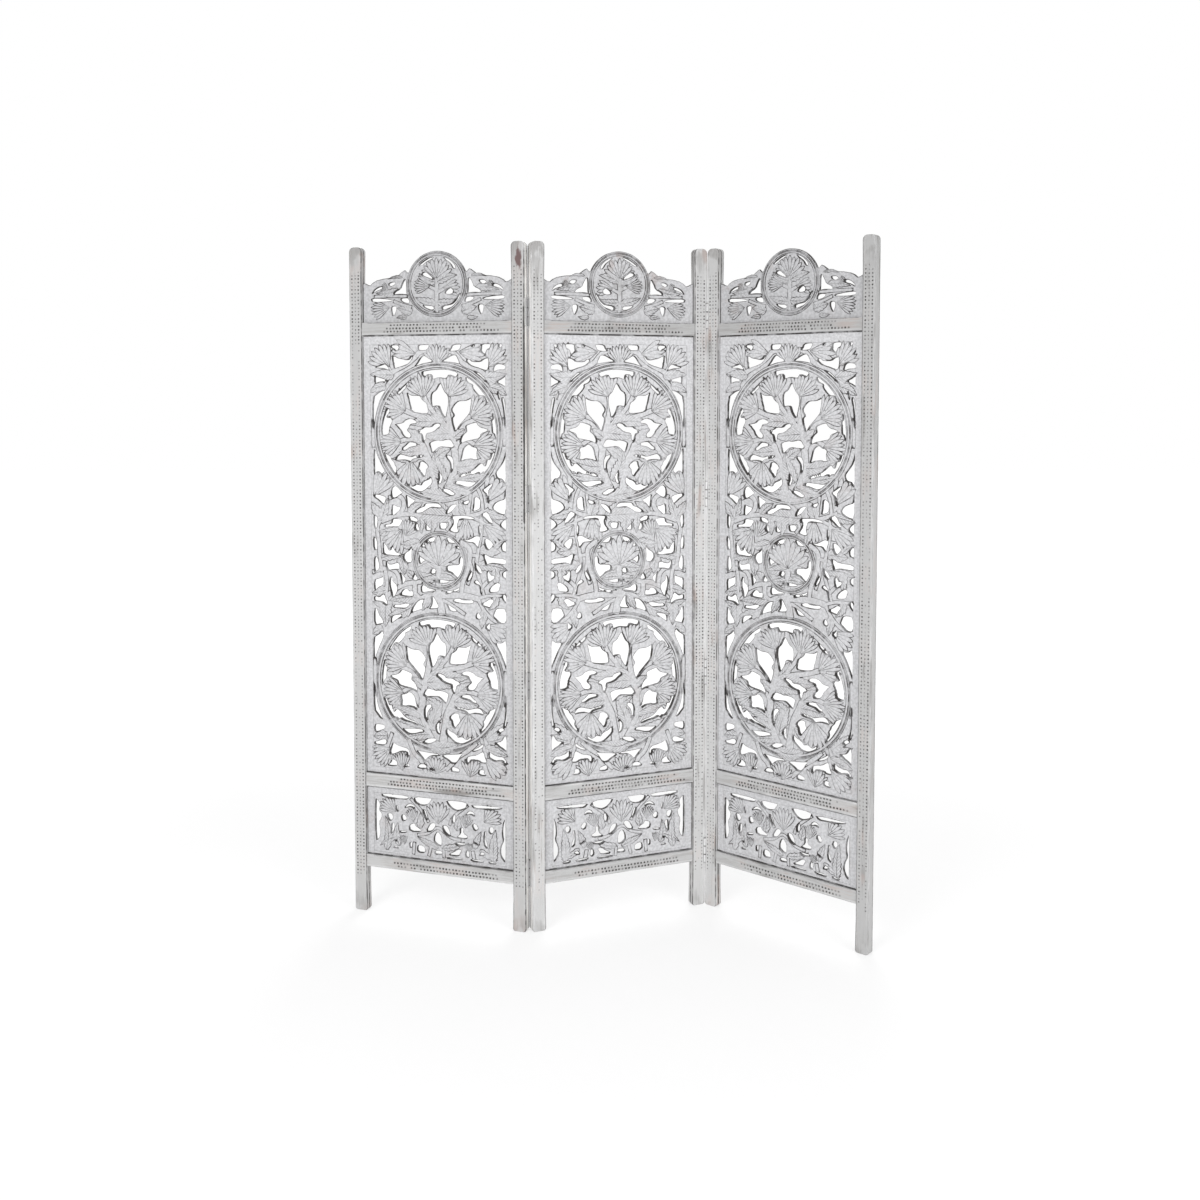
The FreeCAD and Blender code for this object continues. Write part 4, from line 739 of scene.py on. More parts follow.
# Openings of the low board, in shares of the unit from the middle of its field
lower_hole_shares = [
    [(-.87, .405), (-.86, .36), (-.62, .35), (-.47, .36), (-.46, .405)],
    [(-.375, .405), (-.37, .33), (-.27, .295), (-.17, .315), (-.11, .40), (-.13, .405)],
    [(.10, .405), (.14, .34), (.20, .29), (.27, .275), (.36, .31), (.40, .34), (.40, .405)],
    [(.46, .38), (.52, .33), (.60, .335), (.70, .34), (.80, .345), (.90, .365), (.93, .385)],
    [(-.965, .31), (-.94, .32), (-.89, .25), (-.915, .17), (-.865, .12), (-.88, .05), (-.915, 0), (-.89, -.15),
     (-.92, -.24), (-.965, -.26)],
    [(.965, .25), (.93, .15), (.92, .02), (.94, -.07), (.895, -.16), (.89, -.26), (.93, -.33), (.97, -.36)],
    [(-.79, .13), (-.72, .14), (-.69, .08), (-.74, .03), (-.77, .06)],
    [(-.655, .26), (-.62, .25), (-.615, .17), (-.64, .18)],
    [(-.57, .12), (-.53, .15), (-.48, .09), (-.53, .05), (-.56, .06)],
    [(-.53, .23), (-.46, .30), (-.38, .29), (-.36, .23), (-.41, .26), (-.46, .26)],
    [(-.25, .24), (-.21, .24), (-.17, .14), (-.18, .10), (-.21, .12)],
    [(-.20, -.06), (-.14, .05), (-.08, .075), (-.05, .04), (-.12, -.05)],
    [(-.46, 0), (-.37, .04), (-.36, 0), (-.30, -.03), (-.26, -.07), (-.44, -.085)],
    [(-.72, 0), (-.68, .01), (-.675, -.07), (-.73, -.155), (-.725, -.07)],
    [(-.59, -.09), (-.49, -.08), (-.50, -.105), (-.60, -.12)],
    [(-.03, -.04), (.03, -.10), (.035, -.22), (0, -.24), (-.08, -.20), (-.075, -.11)],
    [(.04, .04), (.09, .055), (.13, .03), (.17, -.07), (.14, -.09), (.07, -.04)],
    [(.22, .23), (.245, .20), (.23, .11), (.19, .09), (.18, .15)],
    [(.38, .22), (.44, .29), (.50, .28), (.53, .22), (.46, .25)], [(.48, .10), (.53, .13), (.58, .06), (.52, .02)],
    [(.31, .04), (.36, .05), (.35, -.03), (.42, -.06), (.40, -.10), (.24, -.10), (.31, -.05)],
    [(.50, -.115), (.57, -.14), (.58, -.17), (.52, -.145)],
    [(.66, .03), (.69, .03), (.67, -.06), (.71, -.16), (.70, -.20), (.65, -.15)],
    [(.72, .04), (.74, .10), (.79, .10), (.80, .05), (.76, 0)],
    [(.22, -.165), (.35, -.16), (.40, -.185), (.27, -.21)],
    [(-.70, -.34), (-.66, -.31), (-.60, -.34)], [(-.68, -.22), (-.63, -.215), (-.64, -.245)],
    [(-.45, -.24), (-.41, -.23), (-.415, -.31), (-.45, -.31)],
    [(-.33, -.36), (-.33, -.28), (-.29, -.255), (-.22, -.28), (-.215, -.36)],
    [(-.08, -.36), (-.06, -.315), (0, -.305), (.04, -.32), (.04, -.355)],
    [(.12, -.35), (.22, -.30), (.27, -.26), (.33, -.26), (.30, -.31), (.28, -.35)],
    [(.38, -.33), (.40, -.26), (.43, -.25), (.44, -.34), (.41, -.36)],
    [(.58, -.31), (.62, -.25), (.68, -.27), (.64, -.30)],
    [(.10, -.385), (.34, -.375), (.33, -.40), (.12, -.40)], [(.46, -.365), (.65, -.375), (.64, -.40), (.47, -.395)],
    [(.72, -.37), (.84, -.38), (.82, -.40), (.73, -.40)]]
lower_flower_shares = [
    (-.015, .07, 90, .30, 50), (-.39, .06, 100, .18, 44), (.385, .05, 80, .18, 44), (-.66, .17, 140, .25, 50),
    (.66, .16, 40, .27, 50), (-.52, -.27, 110, .13, 48), (.42, -.27, 75, .12, 46)]
lower_stem_shares = [
    (.05, .05, [(-.33, -.12), (-.17, -.08), (-.02, .01), (.17, -.10), (.33, -.13)]),
    (.05, .05, [(-.43, .38), (-.30, .26), (-.21, .16), (-.155, .07)]),
    (.05, .05, [(.43, .37), (.28, .25), (.20, .17), (.15, .06)]),
    (.05, .05, [(-.39, -.40), (-.37, -.22)]), (.05, .05, [(-.16, -.40), (-.12, -.25)]),
    (.05, .05, [(.07, -.40), (.06, -.26)]), (.06, .06, [(.52, -.40), (.49, -.25)])]
lower_leaf_shares = [
    (-.015, -.27, -.33, -.14, .045), (.05, -.26, .38, -.14, .045), (-.80, -.38, -.81, .10, .055),
    (.80, -.38, .83, .08, .06), (-.60, -.30, -.62, .03, .05), (.52, -.22, .62, .03, .045),
    (-.30, -.02, -.28, .20, .05), (.26, .00, .30, .21, .05), (-.62, -.17, -.90, -.33, .04),
    (.60, -.22, .86, -.34, .04)]
crest_edge_shares = [
    (-1.09, 0), (-1.09, .535), (-1.06, .535), (-1.025, .515), (-.985, .505), (-.945, .54), (-.885, .57), (-.785, .59),
    (-.635, .605), (-.56, .635), (-.50, .68), (-.47, .695), (-.43, .655)]
crest_hole_shares = [
    [(-.965, .385), (-.925, .445), (-.86, .48), (-.80, .485), (-.80, .455), (-.885, .435)],
    [(-.72, .51), (-.675, .54), (-.605, .54), (-.625, .505), (-.675, .485)],
    [(-.47, .58), (-.45, .555), (-.45, .40), (-.44, .375), (-.535, .385), (-.64, .375), (-.62, .415), (-.535, .45),
     (-.51, .515)],
    [(-.975, .33), (-.81, .325), (-.65, .30), (-.685, .285), (-.955, .28)],
    [(-.54, .32), (-.435, .325), (-.405, .295), (-.405, .25), (-.51, .275)],
    [(-.675, .215), (-.595, .22), (-.60, .15), (-.645, .075), (-.67, .15)]]
crest_flower_shares = [(-.70, .20, 188, .27, 42), (-.71, .43, 150, .13, 44)]
crest_stem_shares = [
    (.05, .05, [(-.93, .35), (-.70, .355), (-.42, .345)]), (.05, .05, [(-.64, .29), (-.50, .235), (-.36, .20)])]
crest_leaf_shares = [
    (-.56, .44, -.90, .40, .05), (-.36, .13, -.58, .19, .06), (-.44, .06, -.60, .06, .03),
    (-.50, .60, -.72, .58, .02)]
boss_hole_shares = [
    [(-.27, .25), (-.20, .30), (-.12, .345), (-.05, .36), (-.05, .345), (-.15, .30), (-.215, .25)],
    [(.09, .355), (.18, .32), (.26, .25), (.275, .20), (.24, .20), (.20, .27), (.13, .32)],
    [(-.23, .135), (-.17, .17), (-.10, .12), (-.03, .05), (-.09, .075), (-.16, .10)],
    [(.11, -.125), (.15, -.07), (.20, -.05), (.245, -.09), (.235, -.13), (.17, -.14)],
    [(-.21, -.275), (-.15, -.285), (-.06, -.29), (-.03, -.335), (-.10, -.335), (-.17, -.31)],
    [(.06, -.325), (.09, -.29), (.16, -.285), (.22, -.27), (.275, -.215), (.325, -.135), (.345, -.13), (.325, -.21),
     (.26, -.28), (.18, -.32), (.10, -.345)]]
boss_flower_shares = [(0, .08, 90, .265, 78), (-.10, -.03, 172, .23, 44), (.10, -.06, 2, .23, 40)]
boss_stem_shares = [
    (.08, .07, [(0, -.39), (0, .10)]), (.06, .05, [(0, -.08), (-.11, -.03)]), (.06, .05, [(0, -.12), (.12, -.06)])]
boss_leaf_shares = [
    (0, -.26, -.31, -.17, .055), (0, -.24, .31, -.20, .05), (0, .02, -.26, .15, .05), (0, .02, .30, .11, .055),
    (0, -.33, -.17, -.31, .035), (0, -.33, .18, -.30, .035)]


def rounded(loop):
    """A loop with its corners cut, so that it runs like a saw cut."""
    near, far = .24, .76
    cut = []
    for (x0, z0), (x1, z1) in zip(loop, loop[1:] + loop[:1]):
        cut += [(x0 * far + x1 * near, z0 * far + z1 * near), (x0 * near + x1 * far, z0 * near + z1 * far)]
    return cut


def turned(loop, clockwise):
    """A loop that runs clockwise, or the other way round."""
    area = sum(x0 * z1 - x1 * z0 for (x0, z0), (x1, z1) in zip(loop, loop[1:] + loop[:1]))
    return loop[::-1] if (area < 0) != clockwise else loop


def inset(loop, distance):
    """Points to the left of a loop's own points."""
    moved = []
    for i, (x, z) in enumerate(loop):
        before, after = Vector(loop[i - 1]), Vector(loop[(i + 1) % len(loop)])
        here = Vector((x, z))
        ahead = (after - here).normalized() + (here - before).normalized()
        side = Vector((-ahead.y, ahead.x)).normalized()
        moved.append(tuple(here + side * distance))
    return moved


def plate(carving, outline, holes):
    """A board with openings through it, with a bevel and a painted line round each of them."""
    loops = [turned(outline, False)] + [turned(hole, True) for hole in holes]
    rows = [(loops, BASE - .8, 0, 1), ([inset(loop, 1) for loop in loops], BASE, 1.0, 3),
            ([inset(loop, 2.5) for loop in loops], BASE, CLEAR, 0)]
    caps = geometry.tessellate_polygon([[Vector((x, z, 0)) for x, z in loop] for loop in rows[-1][0]])
    total = sum(len(loop) for loop in loops)
    points, marks, rims, faces = [], [], [], []
    for face in (-1, 1):
        for row, height, mark, flag in rows:
            for loop in row:
                for x, z in loop:
                    points.append((x, MID + face * height, z))
                    marks.append((mark, 0, 0, BORDER))
                    rims.append(flag + (face > 0) if flag else 0)
    faces += [[i + 2 * total for i in cap] for cap in caps]
    faces += [[i + 5 * total for i in cap[::-1]] for cap in caps]
    start = 0
    for loop in loops:
        for i in range(len(loop)):
            a, b = start + i, start + (i + 1) % len(loop)
            for row in (0, total, 3 * total, 4 * total):
                faces.append([a + row, b + row, b + row + total, a + row + total])
            faces.append([a, a + 3 * total, b + 3 * total, b])
        start += len(loop)
    carving.add(points, faces, marks, rims)


def lower_board():
    """The low board: flowers and leaves on crossing stems."""
    carving, relief = Carving(), Carving()
    rng = random.Random(11)
    x, z = 253, 251
    holes = saw(lower_hole_shares, x, z)
    plate(carving, board_box("lower_jali"), holes)
    plant(relief, lower_flower_shares, lower_stem_shares, lower_leaf_shares, x, z, rng)
    carving.lay(relief, holes)
    frame_border(carving, "lower_jali")
    return carving


def crest_board():
    """The crest: two arms with flowers and leaves, and a round boss in their middle."""
    carving, relief = Carving(), Carving()
    rng = random.Random(5)
    x, z, boss_z = 256, 1625, 1725
    boss, boss_share = .42, .50
    turns = [math.radians(degrees) for degrees in range(154, 90, -6)]
    half = crest_edge_shares + [(boss * math.cos(turn), boss_share + boss * math.sin(turn)) for turn in turns]
    outline = half + [(0, boss_share + boss)] + [(-px, pz) for px, pz in reversed(half)]
    outline = [(x + px * UNIT, z + pz * UNIT - (TUCK if pz == 0 else 0)) for px, pz in outline]
    holes = saw(crest_hole_shares, x, z) + saw(crest_hole_shares, x, z, 1, -1) + saw(boss_hole_shares, x, boss_z)
    plate(carving, outline, holes)
    plant(relief, boss_flower_shares, boss_stem_shares, boss_leaf_shares, x, boss_z, rng)
    for side in (1, -1):
        plant(relief, crest_flower_shares, crest_stem_shares, crest_leaf_shares, x, z, rng, 1, side)
    carving.lay(relief, holes)
    ring(carving, x, boss_z, 87.5, 75, 82)
    return carving


# Posts. Across the front face: plain strips and columns of punched dots, from the outer edge.
post_columns = [
    (1.3, 5.2, 0), (5.2, 11.6, 1), (11.6, 15.6, 0), (15.6, 20.6, 1), (20.6, 24.4, 0), (24.4, 30.8, 1),
    (30.8, 34.7, 0)]
FAINT_COLUMN = 3
DOT_PITCH = 9.7
FOOT_ROUND, HEAD_ROUND = 7, 13
# The height over which a post's dots are at their darkest, and that of the painted shadow line on one arris, where
# the gap between two panels at the left fold is dark
HEAD_DOTS = 1560
FOLD_GAP_SHADOW = (1090, 1655)
# The mark of a point of a post, rail or hinge that no line darkens
UNMARKED = 3.4
ROOM_HALF = HINGE_HALF + .6
# The outer side of a post's section as (across, depth, mark), where None is the mark of the front arris
outer_side = [
    (1.3, 0, None), (.4, .4, None), (0, 1.3, None), (0, 4, CLEAR), (0, 17, CLEAR), (0, 23.7, 1.2),
    (.4, 24.6, 1.2), (1.3, 25, 2.0)]
SLOT_HALF = 1.6
inner_side = [
    (34.7, 25, 1.5), (35.6, 24.6, .9), (36, 23.7, .9), (36, 21, CLEAR), (36, MID + SLOT_HALF + 1, CLEAR),
    (36, MID + SLOT_HALF, .3), (33.4, MID + .6, 0), (33.4, MID - .6, 0), (36, MID - SLOT_HALF, .3),
    (36, MID - SLOT_HALF - 1, CLEAR), (36, 4, CLEAR), (36, 1.3, .9), (35.6, .4, .9), (34.7, 0, 1.5)]
# The points of that section at its hinge corner, plain and round a barrel
fold_corner = {(0, 23.7): (-.42, 24.3), (.4, 24.6): (-.3, 24.85), (1.3, 25): (1.3, 25)}
room_corner = {(0, 17): (0, 17), (0, 23.7): (-.42, 22.1), (.4, 24.6): (2.1, 23.15), (1.3, 25): (3.1, 25)}


def punched_face(carving, rows, columns, place, dots, rng, depth, edges, zigzag=0.0):
    """A face of a post or rail. Place turns (across, along, depth) into a point of the panel, dots tells
    how strong the dot of a column is, and edges gives the marks of the two long edges. Zigzag moves the
    dots of neighbouring columns apart; such dots are wider, darker and more even."""
    uneven, wide_share, ring_mark, darkness = (.585, .48, 1.7, 5) if zigzag else (1.3, .44, 2.2, 3.8)
    lines = [columns[0][0]] + [column[1] for column in columns]
    count = len(lines)
    points, marks, faces = [], [], []

    def add_point(across, along, sunk, mark):
        points.append(place(across, along, sunk))
        marks.append((mark, across, along, BORDER))

    for along in rows:
        first, last = edges(along)
        for across in lines:
            mark = first if across == lines[0] else last if across == lines[-1] else UNMARKED
            add_point(across, along, 0, mark)
    for i, (low, high) in enumerate(zip(rows, rows[1:])):
        for j, (a, b, dotted) in enumerate(columns):
            corners = [i * count + j, i * count + j + 1, (i + 1) * count + j + 1, (i + 1) * count + j]
            strength = dots(low, j) if dotted and high - low > 4 else 0
            if strength < .15:
                faces.append(corners)
                continue
            x = (a + b) / 2 + rng.uniform(-.35, .35)
            z = (low + high) / 2 + uneven * rng.uniform(-1, 1) + (zigzag if j % 4 == 1 else -zigzag)
            wide, tall = (b - a) * wide_share, (high - low) * .30
            base = len(points)
            for k in range(8):
                turn = math.radians(225 + 45 * k)
                add_point(x + wide * math.cos(turn), z + tall * math.sin(turn), 0, ring_mark)
            add_point(x, z, depth * strength, 1.9 - darkness * strength)
            for k in range(4):
                n = (k + 1) % 4
                faces.append([corners[k], corners[n], base + 2 * n, base + 2 * k + 1])
                faces.append([corners[k], base + 2 * k + 1, base + 2 * k])
            for k in range(8):
                faces.append([base + k, base + (k + 1) % 8, base + 8])
    carving.add(points, faces, marks, [0] * len(points))


def post(panel, side, hinge_y):
    """A post with punched dots on its two broad faces, drawn as the left-hand post of a panel. A post at
    a fold has a sharper corner at the hinge line, with rooms round the barrels of the hinges."""
    carving = Carving()
    rng = random.Random(panel + side)
    rows = [0, .6, 1.8, 3.4, 5, FOOT_ROUND] + [12 + DOT_PITCH * i for i in range(int((HIGH - 34) / DOT_PITCH))]
    rows += [HIGH - HEAD_ROUND + HEAD_ROUND * math.sin(math.radians(a)) for a in (0, 20, 38, 54, 68, 80, 90)]
    if hinge_y is not None:
        ends = [centre + share * ROOM_HALF for centre in HINGE_HEIGHTS for share in (-1, 1)]
        rows = sorted([z for z in rows if min(abs(z - end) for end in ends) > 1]
                      + [end + step for end in ends for step in (-.03, .03)])
    starts = [rng.uniform(-14, 14) for _ in post_columns]
    tops = [rng.uniform(-12, 12) for _ in post_columns]

    def left_right(along):
        """The two edges of the front face, which swell at both ends and round off at the very ends."""
        swell = 1.5 * max(0, 1 - min(along, HIGH - along) / 90)
        shrink = 0
        if along > HIGH - HEAD_ROUND:
            into_head = along - HIGH + HEAD_ROUND
            shrink = HEAD_ROUND - math.sqrt(max(0, HEAD_ROUND ** 2 - into_head ** 2))
        if along < FOOT_ROUND:
            shrink = FOOT_ROUND - math.sqrt(FOOT_ROUND ** 2 - (FOOT_ROUND - along) ** 2)
        return shrink, POST + swell - shrink

    def spot(across, along, y):
        if hinge_y is not None and across < 2:
            corner = (across, y if hinge_y > MID else DEPTH - y)
            if any(abs(along - centre) < ROOM_HALF for centre in HINGE_HEIGHTS):
                corner = room_corner.get(corner, corner)
            else:
                corner = fold_corner.get(corner, (across or -.42, corner[1]))
            across, y = corner[0], corner[1] if hinge_y > MID else DEPTH - corner[1]
        low, high = left_right(along)
        return (low + (high - low) * across / POST, y, along)

    def dots(along, j):
        fade = min(1, (along - 95 - starts[j]) / 25, (HIGH - 70 + tops[j] - along) / 20)
        wave = 1.1 if along > HEAD_DOTS else .66 + .34 * math.sin(along / 140 + 9 * starts[j])
        faint = (.6 if j == FAINT_COLUMN else 1) * (.45 if panel == "middle" and side == "left" else .85)
        return max(0, fade) * wave * faint * rng.uniform(.35, 1)

    def arris(along):
        """The mark of the front arris: one post has a black line painted there, a painted shadow of the gap between
        two panels at the fold.
        """
        if (panel, side) != ("left", "right"):
            return 2.0
        # Painted shadow: a black line along the arris, where the fold's gap is dark
        return -2.8 if FOLD_GAP_SHADOW[0] < along < FOLD_GAP_SHADOW[1] else .9 if along < HIGH - 30 else 2.4

    for face in (-1, 1):
        def place(across, along, sunk, face=face):
            return spot(across, along, MID + face * (MID - sunk))

        def edges(along, face=face):
            return arris(along) + .3 if face < 0 else 2.4, 1.5

        punched_face(carving, rows, post_columns, place, dots, rng, 1.5, edges)
    for section in (outer_side, inner_side):
        at_fold = hinge_y is not None and section is outer_side
        points, marks = [], []
        for along in rows:
            for across, y, mark in section:
                points.append(spot(across, along, y))
                # The side faces of a post at a fold get lighter paint: painted light against the shade in the fold
                kind = FOLD if at_fold and mark == CLEAR else BORDER
                marks.append((arris(along) if mark is None else mark, y, along, kind))
        carving.add(points, quads(len(rows), len(section)), marks, [0] * len(points))
    lines = [column[0] for column in post_columns] + [post_columns[-1][1]]
    whole = [(x, 0) for x in lines] + [(x, y) for x, y, _ in inner_side[-2:0:-1]]
    whole += [(x, DEPTH) for x in lines[::-1]] + [(x, y) for x, y, _ in outer_side[-2:0:-1]]
    for along in (rows[0], rows[-1]):
        points = [spot(across, along, y) for across, y in whole]
        carving.add(points, [list(range(len(points)))], [(1.5, 0, 0, BORDER)] * len(points), [1] * len(points))
    return carving


rail_columns = {
    "bottom_rail": [(0, 6, 0), (6, 12, 1), (12, 15, 0), (15, 21, 1), (21, 34, 0)],
    "middle_rail": [(0, 7, 0), (7, 13, 1), (13, 15, 0), (15, 21, 1), (21, 25, 0), (25, 30, 1), (30, 37, 0)],
    "top_rail": [
        (0, 5.5, 0), (5.5, 11.5, 1), (11.5, 13.5, 0), (13.5, 19.5, 1), (19.5, 23, 0), (23, 28, 1), (28, 33, 0)]}


def rail(name):
    """A rail, set back a little from the posts, with rows of punched dots that fade out to its ends."""
    front, into_post = 1.5, 2
    left, right = POST - into_post, PANEL - POST + into_post
    carving = Carving()
    rng = random.Random(name)
    low, high = RAILS[name]
    rows = [left, POST] + [POST + 4 + DOT_PITCH * i for i in range(44)] + [PANEL - POST, right]
    columns = rail_columns[name]
    ends = [(rng.uniform(20, 90), rng.uniform(20, 90)) for _ in columns]

    def dots(along, j):
        first, final = ends[j]
        fade = min(1, (along - POST - first) / 30, (PANEL - POST - final - along) / 30)
        wave = .72 + .34 * math.sin(along / 60 + first)
        return max(0, fade) * wave * rng.uniform(.3, 1.1)

    def edges(along):
        if min(along - POST, PANEL - POST - along) < 14:
            return 2.5, 2.2
        return 1.8, 1.2 if name == "top_rail" else 1.7

    for face in (-1, 1):
        def place(across, along, sunk, face=face):
            return (along, MID + face * (MID - front - sunk), low + across)

        punched_face(carving, rows, columns, place, dots, rng, 1.4, edges, 1.3)
    for z in (low, high):
        points = [(left, front, z), (right, front, z), (right, DEPTH - front, z), (left, DEPTH - front, z)]
        carving.add(points, [[0, 1, 2, 3]], [(CLEAR, 0, 0, BORDER)] * 4, [0] * 4)
    return carving


# Hinges. Each has three knuckles, and a leaf's screws as (height over its foot, depth).
KNUCKLE_GAP = .3
KNUCKLE = (2 * HINGE_HALF + KNUCKLE_GAP) / 3
screw_places = ((12, 12), (35, 16), (58, 12))


def hinge_cylinder(carving, x, y, radius, z0, z1):
    """A knuckle or a pin, with a dark line round each end."""
    bevel, line, dark, light = .35, 2.2, -.6, 2.6
    loops = [(z0, radius - bevel, dark), (z0 + bevel, radius, dark), (z0 + line, radius, light),
             (z1 - line, radius, light), (z1 - bevel, radius, dark), (z1, radius - bevel, dark)]
    directions = circle(20)
    points = [(x + r * cos, y + r * sin, z) for z, r, mark in loops for cos, sin in directions]
    marks = [(mark, 0, 0, BORDER) for z, r, mark in loops for _ in directions]
    count = len(directions)
    faces = quads(len(loops), count, closed=True)
    faces += [list(range(count))[::-1], list(range(len(points) - count, len(points)))]
    carving.add(points, faces, marks, [0] * len(points))


def hinge_box(carving, x0, x1, y0, y1, z0, z1):
    points = [(x, y, z) for z in (z0, z1) for x, y in ((x0, y0), (x1, y0), (x1, y1), (x0, y1))]
    faces = [[0, 3, 2, 1], [4, 5, 6, 7], [0, 1, 5, 4], [1, 2, 6, 5], [2, 3, 7, 6], [3, 0, 4, 7]]
    carving.add(points, faces, [(UNMARKED, 0, 0, BORDER)] * 8, [1] * 8)


def screw_head(carving, x, y, z, out):
    """A countersunk screw head on a leaf."""
    loops = ((2.6, 0, 0), (2.2, .25, 1.2), (.9, .35, 1.2))
    directions = circle(16)
    points = [(x + out * rise, y + r * cos, z + r * sin) for r, rise, mark in loops for cos, sin in directions]
    marks = [(mark, 0, 0, BORDER) for r, rise, mark in loops for _ in directions]
    count, centre = len(directions), len(points)
    points.append((x - out * .5, y, z))
    marks.append((0, 0, 0, BORDER))
    faces = quads(len(loops), count, closed=True)
    faces += [[2 * count + i, 2 * count + (i + 1) % count, centre] for i in range(count)]
    carving.add(points, faces, marks, [0] * len(points))


def leaves(side, back, own_first):
    """Four hinge leaves on one edge of a panel, with their knuckles."""
    carving = Carving()
    out = 1 if side == "right" else -1
    face = PANEL if side == "right" else 0

    def depth(y):
        return y if back else DEPTH - y

    for centre in HINGE_HEIGHTS:
        foot = centre - HINGE_HALF
        x0, x1 = sorted((face - out * 1.5, face + out * .45))
        y0, y1 = sorted((depth(7), depth(22)))
        hinge_box(carving, x0, x1, y0, y1, foot, foot + 2 * HINGE_HALF)
        for i in (0, 2) if own_first else (1,):
            low = foot + i * KNUCKLE
            high = low + KNUCKLE - KNUCKLE_GAP
            hinge_cylinder(carving, face + out * HALF_GAP, depth(BARREL_BACK), BARREL_RADIUS, low, high)
        for height, y in screw_places:
            screw_head(carving, face + out * .03, depth(y), foot + height, out)
    return carving


def pins(side, back):
    """The four pins of a fold, drawn at one edge of the middle panel."""
    carving = Carving()
    x = PANEL + HALF_GAP if side == "right" else -HALF_GAP
    y = BARREL_BACK if back else DEPTH - BARREL_BACK
    for centre in HINGE_HEIGHTS:
        hinge_cylinder(carving, x, y, PIN_RADIUS, centre - HINGE_HALF, centre + HINGE_HALF)
    return carving


class Nodes:
    """Short names for the nodes of one material. The seed moves its noises."""

    def __init__(self, material, seed=0.0):
        material.use_nodes = True
        self.seed = seed
        self.tree = material.node_tree
        self.tree.nodes.clear()

    def new(self, kind, **settings):
        node = self.tree.nodes.new("ShaderNode" + kind)
        for name, value in settings.items():
            setattr(node, name, value)
        return node

    def fill(self, socket, value):
        if isinstance(value, bpy.types.NodeSocket):
            self.tree.links.new(value, socket)
        else:
            socket.default_value = value

    def put(self, node, *numbered, **named):
        """Fill a node's inputs, in their order or by name; a name's underscores stand for spaces."""
        for number, value in enumerate(numbered):
            self.fill(node.inputs[number], value)
        for name, value in named.items():
            self.fill(node.inputs[name.replace("_", " ")], value)
        return node

    def math(self, operation, *values):
        return self.put(self.new("Math", operation=operation), *values).outputs[0]

    def times(self, first, *others):
        for other in others:
            first = self.math("MULTIPLY", first, other)
        return first

    def most(self, first, *others):
        for other in others:
            first = self.math("MAXIMUM", first, other)
        return first

    def ramp(self, value, low, high, out_low=0.0, out_high=1.0):
        node = self.new("MapRange", interpolation_type="SMOOTHSTEP")
        return self.put(node, Value=value, From_Min=low, From_Max=high, To_Min=out_low, To_Max=out_high).outputs[0]

    def fall(self, value, low, high):
        """One below low, nothing above high."""
        return self.math("SUBTRACT", 1, self.ramp(value, low, high))

    def attribute(self, name):
        return self.new("Attribute", attribute_name=name).outputs["Fac"]

    def noise(self, scale, stretch, detail, seed):
        where = self.new("TexCoord").outputs["Object"]
        place = (seed + self.seed, seed * .7, seed * .3 + self.seed)
        mapping = self.put(self.new("Mapping"), Vector=where, Scale=stretch, Location=place)
        node = self.put(self.new("TexNoise"), Vector=mapping.outputs[0], Scale=scale, Detail=detail)
        return node.outputs["Fac"]

    def mix(self, share, a, b):
        node = self.new("Mix", data_type="RGBA")
        for number, value in ((0, share), (6, a), (7, b)):
            self.fill(node.inputs[number], value)
        return node.outputs[2]

    def vector(self, operation, *values):
        return self.put(self.new("VectorMath", operation=operation), *values)

    def finish(self, shader, output="OutputMaterial"):
        self.tree.links.new(shader.outputs[0], self.new(output).inputs[0])


# How a noise is stretched: not at all, or as streaks along a post, along a rail and over a board
EVEN, UP, SIDEWAYS, OVER_BOARD = (1, 1, 1), (1, 1, .07), (.07, 1, 1), (.6, 1, .6)
# Heights in metres where a post's worn head and foot begin, and over which posts and rails are painted darker towards
# the top, a painted shade
WORN_TOP, WORN_FOOT = 1.71, .08
TOP_SHADE_FROM = .9
# Painted light for the side faces of posts at a fold
FOLD_PAINTED_LIGHT = (.86, .855, .84, 1)
GRIME = (.28, .27, .265, 1)
GREY_WOOD, BROWN_WOOD = (.19, .18, .172, 1), (.29, .20, .165, 1)
DARK_WOOD = (.125, .08, .078, 1)
INK = (.035, .031, .030, 1)


